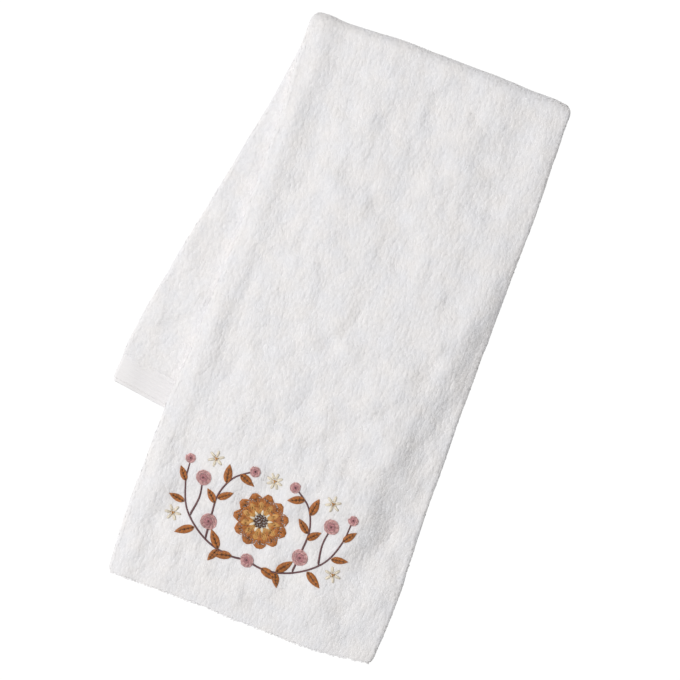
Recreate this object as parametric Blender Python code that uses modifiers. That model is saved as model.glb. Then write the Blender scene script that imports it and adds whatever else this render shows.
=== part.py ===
"""A cotton terry hand towel, folded for display and laid flat.

The cloth is one piece. Both long sides are turned under until they nearly meet in the middle, then the
strip is folded across, a little past half way, and its shorter back half is swung out to the left.
The model starts as the flat cut cloth, and each point is then moved to where the folds put it.
Metres, +Z up. Y runs along the front half, towards the cross fold. The origin is at the middle of the foot.
"""

from collections import namedtuple

import bpy
import numpy as np

MM = 0.001
INCH = 0.0254

# The cut cloth
CLOTH_WIDTH = 16 * INCH
CLOTH_LENGTH = 30 * INCH
CLOTH_THICKNESS = 2.8 * MM
HEM_DEPTH = 22 * MM
HEM_THICKNESS = 2.0 * MM
HEM_STEP = 3 * MM

# The side folds
LAYER_GAP = 1.3 * MM
FLAP_GAP = 1.0 * MM
LEFT_PUFF = 1.5 * MM
LEFT_PUFF_INSET = 10 * MM
LEFT_PUFF_REACH = 8 * MM
RIGHT_PUFF = 1.2 * MM
RIGHT_PUFF_REACH = 10 * MM
SIDE_TROUGH = 0.5 * MM
SIDE_TROUGH_INSET = 26 * MM
SIDE_TROUGH_REACH = 10 * MM
BACK_PUFF = 0.7 * MM

# The cross fold
FRONT_LENGTH = 436.8 * MM
BACK_REACH = 315.6 * MM
HALF_GAP = 1.3 * MM
FOLD_PUFF = 1.4 * MM
FOLD_PUFF_REACH = 22 * MM

# Where the front half comes down to the floor: how far beyond the back half's side and hem
SIDE_DROP = 34 * MM
HEM_DROP = 62 * MM
DROP_START = 6 * MM
FLOOR_EASE = 0.15 * MM

# How the back half swings out: its direction (lean) and the turn of its rows, by the distance from the fold
Swing = namedtuple("Swing", "distance lean_deg turn_deg")
SWINGS = (
    Swing(0 * MM, 3.0, 0.0),
    Swing(50 * MM, 8.0, 2.0),
    Swing(110 * MM, 11.5, 4.5),
    Swing(240 * MM, 11.0, 8.0),
    Swing(290 * MM, 6.3, 8.5),
    Swing(330 * MM, 3.5, 8.5),
)

# How far the front half's left and right sides wander, by the distance below the fold
SideDrift = namedtuple("SideDrift", "distance left right")
SIDE_DRIFTS = (
    SideDrift(0 * MM, 0.4 * MM, -0.6 * MM),
    SideDrift(35 * MM, 0.4 * MM, 0.4 * MM),
    SideDrift(72 * MM, 3.0 * MM, 1.8 * MM),
    SideDrift(150 * MM, 3.2 * MM, 0.7 * MM),
    SideDrift(240 * MM, 1.2 * MM, -0.9 * MM),
    SideDrift(305 * MM, -2.4 * MM, -0.4 * MM),
    SideDrift(375 * MM, -3.0 * MM, 2.2 * MM),
    SideDrift(436 * MM, -1.6 * MM, 0.6 * MM),
)

# How far the front hem and the cross fold bow outwards, by the distance across from the middle
EndDrift = namedtuple("EndDrift", "across hem fold")
END_DRIFTS = (
    EndDrift(-102 * MM, 0.0 * MM, 0.0 * MM),
    EndDrift(-64 * MM, 1.9 * MM, 1.9 * MM),
    EndDrift(-31 * MM, 2.4 * MM, 3.2 * MM),
    EndDrift(0 * MM, 4.0 * MM, 2.3 * MM),
    EndDrift(55 * MM, 5.2 * MM, 1.5 * MM),
    EndDrift(70 * MM, 4.4 * MM, 1.1 * MM),
    EndDrift(88 * MM, 1.2 * MM, 0.7 * MM),
    EndDrift(102 * MM, 0.6 * MM, 0.0 * MM),
)

# The soft corners: where a folded side ends it is drawn in, with the cloth beside it
HEM_INSET = 1.8 * MM
HEM_INSET_LENGTH = 5 * MM
FOLD_INSET = 2.2 * MM
INSET_WIDTH = 35 * MM

# How far below the cross fold the back half still has the front half's width
SIDE_SETTLE = 120 * MM

# The line that the back half follows is worked out point by point, to beyond the front half's end, and a
# place beside it in a few rounds
LINE_REACH = 460 * MM
LINE_POINTS = 461
LINE_ROUNDS = 6

# Soft ridges in the front half, each along a line from (x0, y0) to (x1, y1), with y measured below the fold
Ridge = namedtuple("Ridge", "x0 y0 x1 y1 width height")
RIDGES = (
    Ridge(-37 * MM, 22 * MM, -40 * MM, 155 * MM, 16 * MM, 1.4 * MM),
    Ridge(42 * MM, 15 * MM, 36 * MM, 96 * MM, 17 * MM, 1.5 * MM),
    Ridge(89 * MM, 12 * MM, 92 * MM, 60 * MM, 9 * MM, 1.0 * MM),
    Ridge(57 * MM, 221 * MM, 50 * MM, 273 * MM, 15 * MM, 0.9 * MM),
    Ridge(-47 * MM, 280 * MM, -43 * MM, 332 * MM, 15 * MM, 0.8 * MM),
    Ridge(49 * MM, 384 * MM, 52 * MM, 440 * MM, 13 * MM, 1.3 * MM),
    Ridge(-69 * MM, 400 * MM, -66 * MM, 440 * MM, 12 * MM, 0.8 * MM),
)

# Sizes that follow from those above
PITCH = CLOTH_THICKNESS + LAYER_GAP
SIDE_ARC = np.pi * PITCH / 2
HALF_FLAT = (CLOTH_WIDTH - 2 * SIDE_ARC + FLAP_GAP) / 4
FLAP_WIDTH = HALF_FLAT - FLAP_GAP / 2
PANEL_START = FLAP_WIDTH + SIDE_ARC
PANEL_END = PANEL_START + 2 * HALF_FLAT
HALF_WIDTH = HALF_FLAT + PITCH / 2 + CLOTH_THICKNESS / 2
BACK_TOP = PITCH + CLOTH_THICKNESS
FRONT_LIFT = BACK_TOP + HALF_GAP
BEND_RADIUS = (FRONT_LIFT + PITCH + FOLD_PUFF) / 2
BEND_START = FRONT_LENGTH - BEND_RADIUS - CLOTH_THICKNESS / 2
BEND_ARC = np.pi * BEND_RADIUS
BEND_END = BEND_START + BEND_ARC

# How many steps each stretch of the flat cloth is cut into, by where the stretch ends
FLAP_MARGIN = 20 * MM
LEFT_MARGIN = 36 * MM
DROP_MARGIN = 68 * MM
BEND_MARGIN = 30 * MM
LOWER_PART = 160 * MM
Stretch = namedtuple("Stretch", "end steps")
ACROSS = (
    Stretch(FLAP_WIDTH - FLAP_MARGIN, 5),
    Stretch(FLAP_WIDTH, 2),
    Stretch(PANEL_START, 6),
    Stretch(PANEL_START + LEFT_MARGIN, 6),
    Stretch(PANEL_END - DROP_MARGIN, 7),
    Stretch(PANEL_END, 7),
    Stretch(PANEL_END + SIDE_ARC, 6),
    Stretch(PANEL_END + SIDE_ARC + DROP_MARGIN, 7),
    Stretch(CLOTH_WIDTH, 2),
)
ALONG = (
    Stretch(HEM_INSET_LENGTH, 2),
    Stretch(HEM_DEPTH - HEM_STEP / 2, 1),
    Stretch(HEM_DEPTH + HEM_STEP / 2, 1),
    Stretch(LOWER_PART, 9),
    Stretch(BEND_START - BEND_MARGIN, 12),
    Stretch(BEND_START, 3),
    Stretch(BEND_END, 8),
    Stretch(BEND_END + BEND_MARGIN, 2),
    Stretch(CLOTH_LENGTH - HEM_DEPTH - HEM_STEP / 2, 11),
    Stretch(CLOTH_LENGTH - HEM_DEPTH + HEM_STEP / 2, 1),
    Stretch(CLOTH_LENGTH - HEM_INSET_LENGTH, 1),
    Stretch(CLOTH_LENGTH, 2),
)

WHITE_COTTON = (0.83, 0.83, 0.82, 1.0)


def ease(x):
    """0 below 0, 1 above 1, and a smooth rise between."""
    x = np.clip(x, 0, 1)
    return x * x * (3 - 2 * x)


def bump(distance, reach):
    """1 at no distance, and a soft fall to 0 well past the reach."""
    return np.exp(-((distance / reach) ** 2))


def column(rows, name):
    """One column of a table."""
    return np.array([getattr(row, name) for row in rows])


def follow(rows, name, at):
    """A table's column at the places given, with smooth turns between its rows."""
    places = column(rows, rows[0]._fields[0])
    values = column(rows, name)
    index = np.clip(np.searchsorted(places, at) - 1, 0, len(rows) - 2)
    share = (at - places[index]) / (places[index + 1] - places[index])
    return values[index] + (values[index + 1] - values[index]) * ease(share)


def stations(stretches):
    """Every place along one side of the flat cloth where its mesh has a line."""
    places = [0.0]
    for stretch in stretches:
        places += list(np.linspace(places[-1], stretch.end, stretch.steps + 1)[1:])
    return np.array(places)


def thickness(t):
    """The cloth's thickness: the pile stops at the flat-woven hems."""
    from_end = np.minimum(t, CLOTH_LENGTH - t)
    return HEM_THICKNESS + (CLOTH_THICKNESS - HEM_THICKNESS) * ease((from_end - HEM_DEPTH) / HEM_STEP + 0.5)


def side_folds(s, pitch):
    """Where the side folds put a point: its distance from the middle line, and its depth below the panel."""
    left_turn = np.pi * np.clip((s - FLAP_WIDTH) / SIDE_ARC, 0, 1)
    right_turn = np.pi * np.clip((s - PANEL_END) / SIDE_ARC, 0, 1)
    in_left = s < PANEL_START
    in_right = s > PANEL_END
    x = np.clip(s - PANEL_START - HALF_FLAT, -HALF_FLAT, HALF_FLAT)
    x = x - pitch / 2 * np.sin(left_turn) + pitch / 2 * np.sin(right_turn)
    x = x + np.clip(FLAP_WIDTH - s, 0, None)
    x = x - np.clip(s - PANEL_END - SIDE_ARC, 0, None)
    turn = np.where(in_left, np.pi - left_turn, np.where(in_right, right_turn, 0))
    return x, pitch / 2 * (1 - np.cos(turn))


def centre_line():
    """The back half's middle line in plan: its distances from the fold, places and the turn of its rows."""
    distance = np.linspace(0, LINE_REACH, LINE_POINTS)
    lean = np.radians(follow(SWINGS, "lean_deg", np.minimum(distance, SWINGS[-1].distance)))
    turn = np.radians(follow(SWINGS, "turn_deg", np.minimum(distance, SWINGS[-1].distance)))
    step = distance[1] - distance[0]
    x = -np.concatenate([[0], np.cumsum(np.sin(lean[:-1]) * step)])
    y = -np.concatenate([[0], np.cumsum(np.cos(lean[:-1]) * step)])
    return distance, x, y, turn


LINE = centre_line()


def back_row(d):
    """The middle and the turn of the back half's row that is a distance d from the fold."""
    distance, x, y, turn = LINE
    return np.interp(d, distance, x), np.interp(d, distance, y), np.interp(d, distance, turn)


def back_local(x, y):
    """The distance across and along the back half of a point in plan."""
    d = -y
    for _ in range(LINE_ROUNDS):
        row_x, row_y, turn = back_row(d)
        d = d - (x - row_x) * np.sin(turn) - (y - row_y) * np.cos(turn)
    row_x, row_y, turn = back_row(d)
    return (x - row_x) * np.cos(turn) - (y - row_y) * np.sin(turn), d


def left_puff(x, half_width):
    """0 to 1: how much a point has of the soft roll whose crest runs a little inside the left fold."""
    return bump(half_width + x - LEFT_PUFF_INSET, LEFT_PUFF_REACH)


def right_puff(x, half_width):
    """0 to 1: how much a point has of the soft roll along the right fold."""
    return bump(half_width - x, RIGHT_PUFF_REACH)


def ridge_height(x, y):
    """How high the soft ridges lift the front half."""
    height = np.zeros_like(x)
    for ridge in RIDGES:
        run = np.array([ridge.x1 - ridge.x0, -(ridge.y1 - ridge.y0)])
        share = ((x - ridge.x0) * run[0] + (y + ridge.y0) * run[1]) / (run @ run)
        share = np.clip(share, 0, 1)
        away = np.hypot(x - ridge.x0 - share * run[0], y + ridge.y0 - share * run[1])
        height = np.maximum(height, ridge.height * bump(away, ridge.width))
    return height


def support(x, y):
    """The height on which the front half lies: the back half's top, and the floor beyond it."""
    across, along = back_local(x, y)
    past_side = np.abs(across) - HALF_WIDTH
    past_hem = along - BACK_REACH
    covered = ease((SIDE_DROP - past_side) / (SIDE_DROP - DROP_START))
    covered = covered * ease((HEM_DROP - past_hem) / (HEM_DROP - DROP_START))
    return FLOOR_EASE + (FRONT_LIFT - FLOOR_EASE + FOLD_PUFF * bump(y, FOLD_PUFF_REACH)) * covered


def corner_inset(x, nearness):
    """How much of a corner's inset a point has, signed as x: nearness is 1 at the end of the folded side."""
    beside = np.sign(x) * ease((np.abs(x) - HALF_FLAT) / INSET_WIDTH + 1)
    return beside * np.clip(nearness, 0, 1) ** 2


def front_place(x, depth, t, thick):
    """A point of the front half, which lies with its panel up."""
    below_fold = BEND_START - t
    pitch = thick + LAYER_GAP
    under = depth / pitch
    share = (x + HALF_FLAT) / (2 * HALF_FLAT)
    end_share = ease(below_fold / BEND_START)
    hem_bow = follow(END_DRIFTS, "hem", np.clip(x, -HALF_WIDTH, HALF_WIDTH))
    fold_bow = follow(END_DRIFTS, "fold", np.clip(x, -HALF_WIDTH, HALF_WIDTH))
    left = follow(SIDE_DRIFTS, "left", below_fold)
    right = follow(SIDE_DRIFTS, "right", below_fold)
    inset = HEM_INSET * corner_inset(x, 1 - t / HEM_INSET_LENGTH)
    plan_x = x + left * (1 - share) + right * share - inset
    plan_y = -below_fold - hem_bow * end_share + fold_bow * (1 - end_share)
    rise = support(plan_x, plan_y) + ridge_height(plan_x, plan_y)
    reach = HALF_FLAT + pitch / 2
    puff = (LEFT_PUFF * left_puff(x, reach) + RIGHT_PUFF * right_puff(x, reach)) * (1 - under)
    trough = SIDE_TROUGH * bump(HALF_FLAT - np.abs(x) - SIDE_TROUGH_INSET, SIDE_TROUGH_REACH) * (1 - under)
    return plan_x, plan_y, thick / 2 + rise + pitch - depth + puff - trough


def back_place(x, depth, t, thick):
    """A point of the back half, which lies with its panel down."""
    d = (t - BEND_END) * BACK_REACH / (CLOTH_LENGTH - BEND_END)
    pitch = thick + LAYER_GAP
    under = depth / pitch
    row_x, row_y, turn = back_row(d)
    inset = HEM_INSET * corner_inset(x, 1 - (CLOTH_LENGTH - t) / HEM_INSET_LENGTH)
    fold_bow = follow(END_DRIFTS, "fold", np.clip(x, -HALF_WIDTH, HALF_WIDTH)) * (1 - ease(d / BACK_REACH))
    first = 1 - ease(d / SIDE_SETTLE)
    side = follow(SIDE_DRIFTS, "left", 0) * np.clip(-x / HALF_FLAT, 0, 1)
    side = side + follow(SIDE_DRIFTS, "right", 0) * np.clip(x / HALF_FLAT, 0, 1)
    x = x - inset + side * first
    puff = BACK_PUFF * left_puff(x, HALF_FLAT + pitch / 2) * under
    return (
        row_x + x * np.cos(turn),
        row_y - x * np.sin(turn) + fold_bow,
        thick / 2 + depth + puff,
    )


def bend_place(x, depth, t, thick):
    """A point in the cross fold: it turns from the front half's place to the back half's."""
    angle = np.pi * (t - BEND_START) / BEND_ARC
    front = front_place(x, depth, np.full_like(t, BEND_START), thick)
    back = back_place(x, depth, np.full_like(t, BEND_END), thick)
    middle = (front[2] + back[2]) / 2
    radius = (front[2] - back[2]) / 2
    swing = ease(angle / np.pi)
    inset = FOLD_INSET * corner_inset(x, np.sin(angle))
    return (
        front[0] * (1 - swing) + back[0] * swing - inset,
        front[1] * (1 - swing) + back[1] * swing + radius * np.sin(angle),
        middle + radius * np.cos(angle),
    )


def folded(s, t):
    """Where the folds put the points of the flat cloth at s across and t along from the front hem."""
    thick = thickness(t)
    x, depth = side_folds(s, thick + LAYER_GAP)
    front = front_place(x, depth, np.minimum(t, BEND_START), thick)
    bend = bend_place(x, depth, np.clip(t, BEND_START, BEND_END), thick)
    back = back_place(x, depth, np.maximum(t, BEND_END), thick)
    where = [t < BEND_START, t < BEND_END]
    return np.stack([np.select(where, [front[k], bend[k]], back[k]) for k in range(3)], axis=1)


def terry_material():
    material = bpy.data.materials.new("white_terry")
    material.use_nodes = True
    shader = material.node_tree.nodes["Principled BSDF"]
    shader.inputs["Base Color"].default_value = WHITE_COTTON
    shader.inputs["Roughness"].default_value = 0.95
    shader.inputs["Metallic"].default_value = 0.0
    return material


def flat_cloth():
    """The cut cloth as a flat grid, with more lines where it will fold, and its places s and t."""
    across, along = stations(ACROSS), stations(ALONG)
    bpy.ops.mesh.primitive_grid_add(
        x_subdivisions=len(across) - 1, y_subdivisions=len(along) - 1, size=1, location=(0, 0, 0)
    )
    cloth = bpy.context.object
    cloth.name = "towel"
    cloth.data.name = "towel"
    places = np.array([vertex.co for vertex in cloth.data.vertices])
    s = across[np.rint((places[:, 0] + 0.5) * (len(across) - 1)).astype(int)]
    t = along[np.rint((places[:, 1] + 0.5) * (len(along) - 1)).astype(int)]
    return cloth, s, t


def make_towel():
    cloth, s, t = flat_cloth()
    cloth.data.vertices.foreach_set("co", folded(s, t).astype(np.float32).ravel())
    cloth.data.update()
    cloth.data.shade_smooth()
    cloth.data.materials.append(terry_material())
    pile = cloth.vertex_groups.new(name="pile_thickness")
    for index, thick in enumerate(thickness(t)):
        pile.add([index], float(thick / CLOTH_THICKNESS), "REPLACE")
    body = cloth.modifiers.new("body", "SOLIDIFY")
    body.thickness = CLOTH_THICKNESS
    body.offset = 0
    body.vertex_group = pile.name
    body.thickness_vertex_group = 0
    return cloth


def stand_on_origin(cloth):
    """Moves the towel so that the origin is at the middle of the foot of its box."""
    bpy.context.view_layer.update()
    evaluated = cloth.evaluated_get(bpy.context.evaluated_depsgraph_get())
    corners = np.array([corner[:] for corner in evaluated.bound_box])
    low, high = corners.min(axis=0), corners.max(axis=0)
    cloth.location = (-(low[0] + high[0]) / 2, -(low[1] + high[1]) / 2, -low[2])


def main():
    for old in list(bpy.data.objects):
        bpy.data.objects.remove(old)
    collection = bpy.data.collections.new("hand_towel")
    bpy.context.scene.collection.children.link(collection)
    towel = make_towel()
    for owner in list(towel.users_collection):
        owner.objects.unlink(towel)
    collection.objects.link(towel)
    stand_on_origin(towel)


main()
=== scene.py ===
# %% [markdown]
# # A folded hand towel of cotton terry
#
# This lesson dresses one folded towel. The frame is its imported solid: a cloth that is folded in at both
# sides and then across, with its back half swung out to the left. We lay a finer cloth on the same folds,
# cover it with thousands of woven loops, sew its hem and its embroidery, and then light it softly.
#
# Everything is in metres. Z is up, and Y runs along the front half towards the cross fold.

# %% Load the frame and keep its box
from collections import namedtuple

import bpy
import numpy as np
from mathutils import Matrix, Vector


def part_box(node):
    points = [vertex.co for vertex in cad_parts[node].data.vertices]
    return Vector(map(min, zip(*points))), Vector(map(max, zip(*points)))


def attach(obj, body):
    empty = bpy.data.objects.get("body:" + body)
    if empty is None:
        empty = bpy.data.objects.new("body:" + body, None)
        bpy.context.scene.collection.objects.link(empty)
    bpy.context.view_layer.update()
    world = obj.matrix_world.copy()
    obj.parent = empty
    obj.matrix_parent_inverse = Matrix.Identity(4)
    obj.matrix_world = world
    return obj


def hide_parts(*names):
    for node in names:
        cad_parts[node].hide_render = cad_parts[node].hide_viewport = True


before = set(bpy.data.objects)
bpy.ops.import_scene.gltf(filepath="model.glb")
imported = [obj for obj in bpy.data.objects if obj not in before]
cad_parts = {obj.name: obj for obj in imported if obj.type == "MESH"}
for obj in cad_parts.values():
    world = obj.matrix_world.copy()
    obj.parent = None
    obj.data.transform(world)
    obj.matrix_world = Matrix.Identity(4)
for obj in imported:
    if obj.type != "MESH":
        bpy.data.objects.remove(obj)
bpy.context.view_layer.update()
MM = 0.001
INCH = 0.0254

# %% [markdown]
# ## The cut cloth
#
# A hand towel is one piece of cloth, 16 by 30 inches. Its body is terry: a plain ground weave with loops on
# both faces. The cloth thins out to a hem at each short end. At the back one the loops stop short and leave
# a flat, ribbed band. At the front one they run on to the edge, over a slow slope.
#
# A point of the cloth is named by where it was on the flat cut: `s` runs across from the left side, and `t`
# runs along from the front hem. The loops and the sewing are made in these two numbers as well, so they
# lie as a weaver and a sewer would place them, whatever the folds do.

# %% Sizes of the cut cloth
CLOTH_WIDTH = 16 * INCH
CLOTH_LENGTH = 30 * INCH
CLOTH_THICKNESS = 2.8 * MM
HEM_DEPTH = 22 * MM
HEM_THICKNESS = 2.0 * MM
HEM_STEP = 3 * MM  # from the pile down to the back hem
FRONT_BAND = 0.5 * MM  # what the loops leave free at the front edge
FRONT_FADE = 30 * MM  # the front end's slope
print("flat cloth, mm:", round(CLOTH_WIDTH / MM, 1), round(CLOTH_LENGTH / MM, 1))

# %% [markdown]
# ## The folds
#
# Each side is turned under until the two nearly meet. Then the strip is folded across, a little past half
# way, so the front half lies on the back half and comes down to the table beyond it.
#
# Blender could fold a sheet with its cloth simulation, but a display fold is neat and known, and every
# layer has to lie where the frame's solid has it. So a function moves each flat point to its folded place.
# The sizes below are the frame's own, and the short tables say how the sides and ends wander. Only these
# tables and the dip at the right side are trimmed, by up to 2.4 mm, to the outline of the dressed towel.

# %% Sizes of the folds
LAYER_GAP = 1.3 * MM
FLAP_GAP = 1.0 * MM
LEFT_PUFF = 1.5 * MM
LEFT_PUFF_INSET = 10 * MM
LEFT_PUFF_REACH = 8 * MM
RIGHT_DIP = 0.9 * MM
RIGHT_DIP_REACH = 10 * MM
SIDE_TROUGH = 0.5 * MM
SIDE_TROUGH_INSET = 26 * MM
SIDE_TROUGH_REACH = 10 * MM
BACK_PUFF = 0.7 * MM
FRONT_LENGTH = 436.8 * MM
BACK_REACH = 315.6 * MM
HALF_GAP = 1.3 * MM
FOLD_PUFF = 1.4 * MM
FOLD_PUFF_REACH = 22 * MM
SIDE_DROP = 34 * MM
HEM_DROP = 62 * MM
DROP_START = 6 * MM
FLOOR_EASE = 0.15 * MM
HEM_INSET = 1.8 * MM
HEM_INSET_LENGTH = 5 * MM
FOLD_INSET = 2.2 * MM
INSET_WIDTH = 35 * MM
SIDE_SETTLE = 120 * MM
LINE_REACH = 460 * MM
LINE_POINTS = 461
LINE_ROUNDS = 6

Swing = namedtuple("Swing", "distance lean_deg turn_deg")
SWINGS = (
    Swing(0 * MM, 3.0, 0.0),
    Swing(50 * MM, 8.0, 2.0),
    Swing(110 * MM, 11.5, 4.5),
    Swing(240 * MM, 11.0, 8.0),
    Swing(290 * MM, 6.3, 8.5),
    Swing(330 * MM, 3.5, 8.5),
)
SideDrift = namedtuple("SideDrift", "distance left right")
SIDE_DRIFTS = (
    SideDrift(0 * MM, 0.4 * MM, 0.4 * MM),
    SideDrift(35 * MM, 0.4 * MM, 0.4 * MM),
    SideDrift(72 * MM, 3.0 * MM, 1.8 * MM),
    SideDrift(150 * MM, 3.2 * MM, 0.7 * MM),
    SideDrift(240 * MM, 0.4 * MM, 0.1 * MM),
    SideDrift(305 * MM, -4.0 * MM, 0.6 * MM),
    SideDrift(375 * MM, -5.2 * MM, 2.6 * MM),
    SideDrift(436 * MM, -4.0 * MM, 1.1 * MM),
)
EndDrift = namedtuple("EndDrift", "across hem fold")
END_DRIFTS = (
    EndDrift(-102 * MM, 1.8 * MM, 2.0 * MM),
    EndDrift(-64 * MM, 2.0 * MM, 2.0 * MM),
    EndDrift(-31 * MM, 2.4 * MM, 3.2 * MM),
    EndDrift(0 * MM, 4.0 * MM, 2.9 * MM),
    EndDrift(55 * MM, 5.2 * MM, 1.5 * MM),
    EndDrift(70 * MM, 4.4 * MM, 1.1 * MM),
    EndDrift(88 * MM, 1.9 * MM, 0.9 * MM),
    EndDrift(102 * MM, 0.6 * MM, 0.0 * MM),
)
Ridge = namedtuple("Ridge", "x0 y0 x1 y1 width height")
RIDGES = (
    Ridge(-37 * MM, 22 * MM, -40 * MM, 155 * MM, 16 * MM, 1.4 * MM),
    Ridge(42 * MM, 15 * MM, 36 * MM, 96 * MM, 17 * MM, 1.5 * MM),
    Ridge(89 * MM, 12 * MM, 92 * MM, 60 * MM, 9 * MM, 1.0 * MM),
    Ridge(57 * MM, 221 * MM, 50 * MM, 273 * MM, 15 * MM, 0.9 * MM),
    Ridge(-47 * MM, 280 * MM, -43 * MM, 332 * MM, 15 * MM, 0.8 * MM),
    Ridge(49 * MM, 384 * MM, 52 * MM, 440 * MM, 13 * MM, 1.3 * MM),
    Ridge(-69 * MM, 400 * MM, -66 * MM, 440 * MM, 12 * MM, 0.8 * MM),
)
PITCH = CLOTH_THICKNESS + LAYER_GAP
SIDE_ARC = np.pi * PITCH / 2
HALF_FLAT = (CLOTH_WIDTH - 2 * SIDE_ARC + FLAP_GAP) / 4
FLAP_WIDTH = HALF_FLAT - FLAP_GAP / 2
PANEL_START = FLAP_WIDTH + SIDE_ARC
PANEL_MIDDLE = PANEL_START + HALF_FLAT
PANEL_END = PANEL_START + 2 * HALF_FLAT
HALF_WIDTH = HALF_FLAT + PITCH / 2 + CLOTH_THICKNESS / 2
BACK_TOP = PITCH + CLOTH_THICKNESS
FRONT_LIFT = BACK_TOP + HALF_GAP
BEND_RADIUS = (FRONT_LIFT + PITCH + FOLD_PUFF) / 2
BEND_START = FRONT_LENGTH - BEND_RADIUS - CLOTH_THICKNESS / 2
BEND_ARC = np.pi * BEND_RADIUS
BEND_END = BEND_START + BEND_ARC
print("folded strip, mm:", round(2 * HALF_WIDTH / MM, 1), "wide, cross fold at", round(BEND_START / MM, 1))

# %% Helpers that the folds share


def ease(x):
    """0 below 0, 1 above 1, and a smooth rise between."""
    x = np.clip(x, 0, 1)
    return x * x * (3 - 2 * x)


def bump(distance, reach):
    """1 at no distance, and a soft fall to 0 well past the reach."""
    return np.exp(-((distance / reach) ** 2))


def column(rows, name):
    """One column of a table."""
    return np.array([getattr(row, name) for row in rows])


def follow(rows, name, at):
    """A table's column at the places given, with smooth turns between its rows."""
    places = column(rows, rows[0]._fields[0])
    values = column(rows, name)
    index = np.clip(np.searchsorted(places, at) - 1, 0, len(rows) - 2)
    share = (at - places[index]) / (places[index + 1] - places[index])
    return values[index] + (values[index + 1] - values[index]) * ease(share)


def into_pile(t):
    """How far a place on the cloth is past the line where the loops begin."""
    return np.minimum(t - FRONT_BAND, CLOTH_LENGTH - HEM_DEPTH - t)


def hem_share(t):
    """1 in the flat ends, 0 in the terry. The back hem has a clear step, and the front one a slow slope."""
    front = 1 - ease((t - FRONT_BAND) / FRONT_FADE)
    back = 1 - ease((CLOTH_LENGTH - HEM_DEPTH - t) / HEM_STEP + 0.5)
    return np.maximum(front, back)


def thickness(t):
    """The solid cloth's thickness: the pile thins out to the hems."""
    return CLOTH_THICKNESS + (HEM_THICKNESS - CLOTH_THICKNESS) * hem_share(t)


# %% [markdown]
# The side folds come first: they turn a point's `s` into a distance from the middle line and a depth below
# the panel. After them comes the line that the back half follows as it swings out.

# %% The side folds and the back half's line


def side_folds(s, pitch):
    """Where the side folds put a point: its distance from the middle line, and its depth below the panel."""
    left_turn = np.pi * np.clip((s - FLAP_WIDTH) / SIDE_ARC, 0, 1)
    right_turn = np.pi * np.clip((s - PANEL_END) / SIDE_ARC, 0, 1)
    in_left = s < PANEL_START
    in_right = s > PANEL_END
    x = np.clip(s - PANEL_START - HALF_FLAT, -HALF_FLAT, HALF_FLAT)
    x = x - pitch / 2 * np.sin(left_turn) + pitch / 2 * np.sin(right_turn)
    x = x + np.clip(FLAP_WIDTH - s, 0, None)
    x = x - np.clip(s - PANEL_END - SIDE_ARC, 0, None)
    turn = np.where(in_left, np.pi - left_turn, np.where(in_right, right_turn, 0))
    return x, pitch / 2 * (1 - np.cos(turn))


def centre_line():
    """The back half's middle line in plan: its distances from the fold, places and the turn of its rows."""
    distance = np.linspace(0, LINE_REACH, LINE_POINTS)
    lean = np.radians(follow(SWINGS, "lean_deg", np.minimum(distance, SWINGS[-1].distance)))
    turn = np.radians(follow(SWINGS, "turn_deg", np.minimum(distance, SWINGS[-1].distance)))
    step = distance[1] - distance[0]
    x = -np.concatenate([[0], np.cumsum(np.sin(lean[:-1]) * step)])
    y = -np.concatenate([[0], np.cumsum(np.cos(lean[:-1]) * step)])
    return distance, x, y, turn


LINE = centre_line()


def back_row(d):
    """The middle and the turn of the back half's row that is a distance d from the fold."""
    distance, x, y, turn = LINE
    return np.interp(d, distance, x), np.interp(d, distance, y), np.interp(d, distance, turn)


def back_local(x, y):
    """The distance across and along the back half of a point in plan."""
    d = -y
    for _ in range(LINE_ROUNDS):
        row_x, row_y, turn = back_row(d)
        d = d - (x - row_x) * np.sin(turn) - (y - row_y) * np.cos(turn)
    row_x, row_y, turn = back_row(d)
    return (x - row_x) * np.cos(turn) - (y - row_y) * np.sin(turn), d


print("the back half's hem swings out by", round(-float(back_row(BACK_REACH)[0]) / MM, 1), "mm")

# %% [markdown]
# Next is the height that the front half lies on: the top of the back half, and the table beyond it. Soft
# ridges, the full left side and the dip along the right one are added to it.

# %% Heights under the front half


def left_puff(x, half_width):
    """0 to 1: how much a point has of the soft roll whose crest runs a little inside the left fold."""
    return bump(half_width + x - LEFT_PUFF_INSET, LEFT_PUFF_REACH)


def right_dip(x, half_width):
    """0 to 1: how much a point has of the soft fall towards the right fold."""
    return bump(half_width - x, RIGHT_DIP_REACH)


def ridge_height(x, y):
    """How high the soft ridges lift the front half."""
    height = np.zeros_like(x)
    for ridge in RIDGES:
        run = np.array([ridge.x1 - ridge.x0, -(ridge.y1 - ridge.y0)])
        share = ((x - ridge.x0) * run[0] + (y + ridge.y0) * run[1]) / (run @ run)
        share = np.clip(share, 0, 1)
        away = np.hypot(x - ridge.x0 - share * run[0], y + ridge.y0 - share * run[1])
        height = np.maximum(height, ridge.height * bump(away, ridge.width))
    return height


def support(x, y):
    """The height on which the front half lies: the back half's top, and the floor beyond it."""
    across, along = back_local(x, y)
    past_side = np.abs(across) - HALF_WIDTH
    past_hem = along - BACK_REACH
    covered = ease((SIDE_DROP - past_side) / (SIDE_DROP - DROP_START))
    covered = covered * ease((HEM_DROP - past_hem) / (HEM_DROP - DROP_START))
    return FLOOR_EASE + (FRONT_LIFT - FLOOR_EASE + FOLD_PUFF * bump(y, FOLD_PUFF_REACH)) * covered


def corner_inset(x, nearness):
    """How much of a corner's inset a point has, signed as x: nearness is 1 at the end of the folded side."""
    beside = np.sign(x) * ease((np.abs(x) - HALF_FLAT) / INSET_WIDTH + 1)
    return beside * np.clip(nearness, 0, 1) ** 2


# %% The front half, the cross fold and the back half


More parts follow.
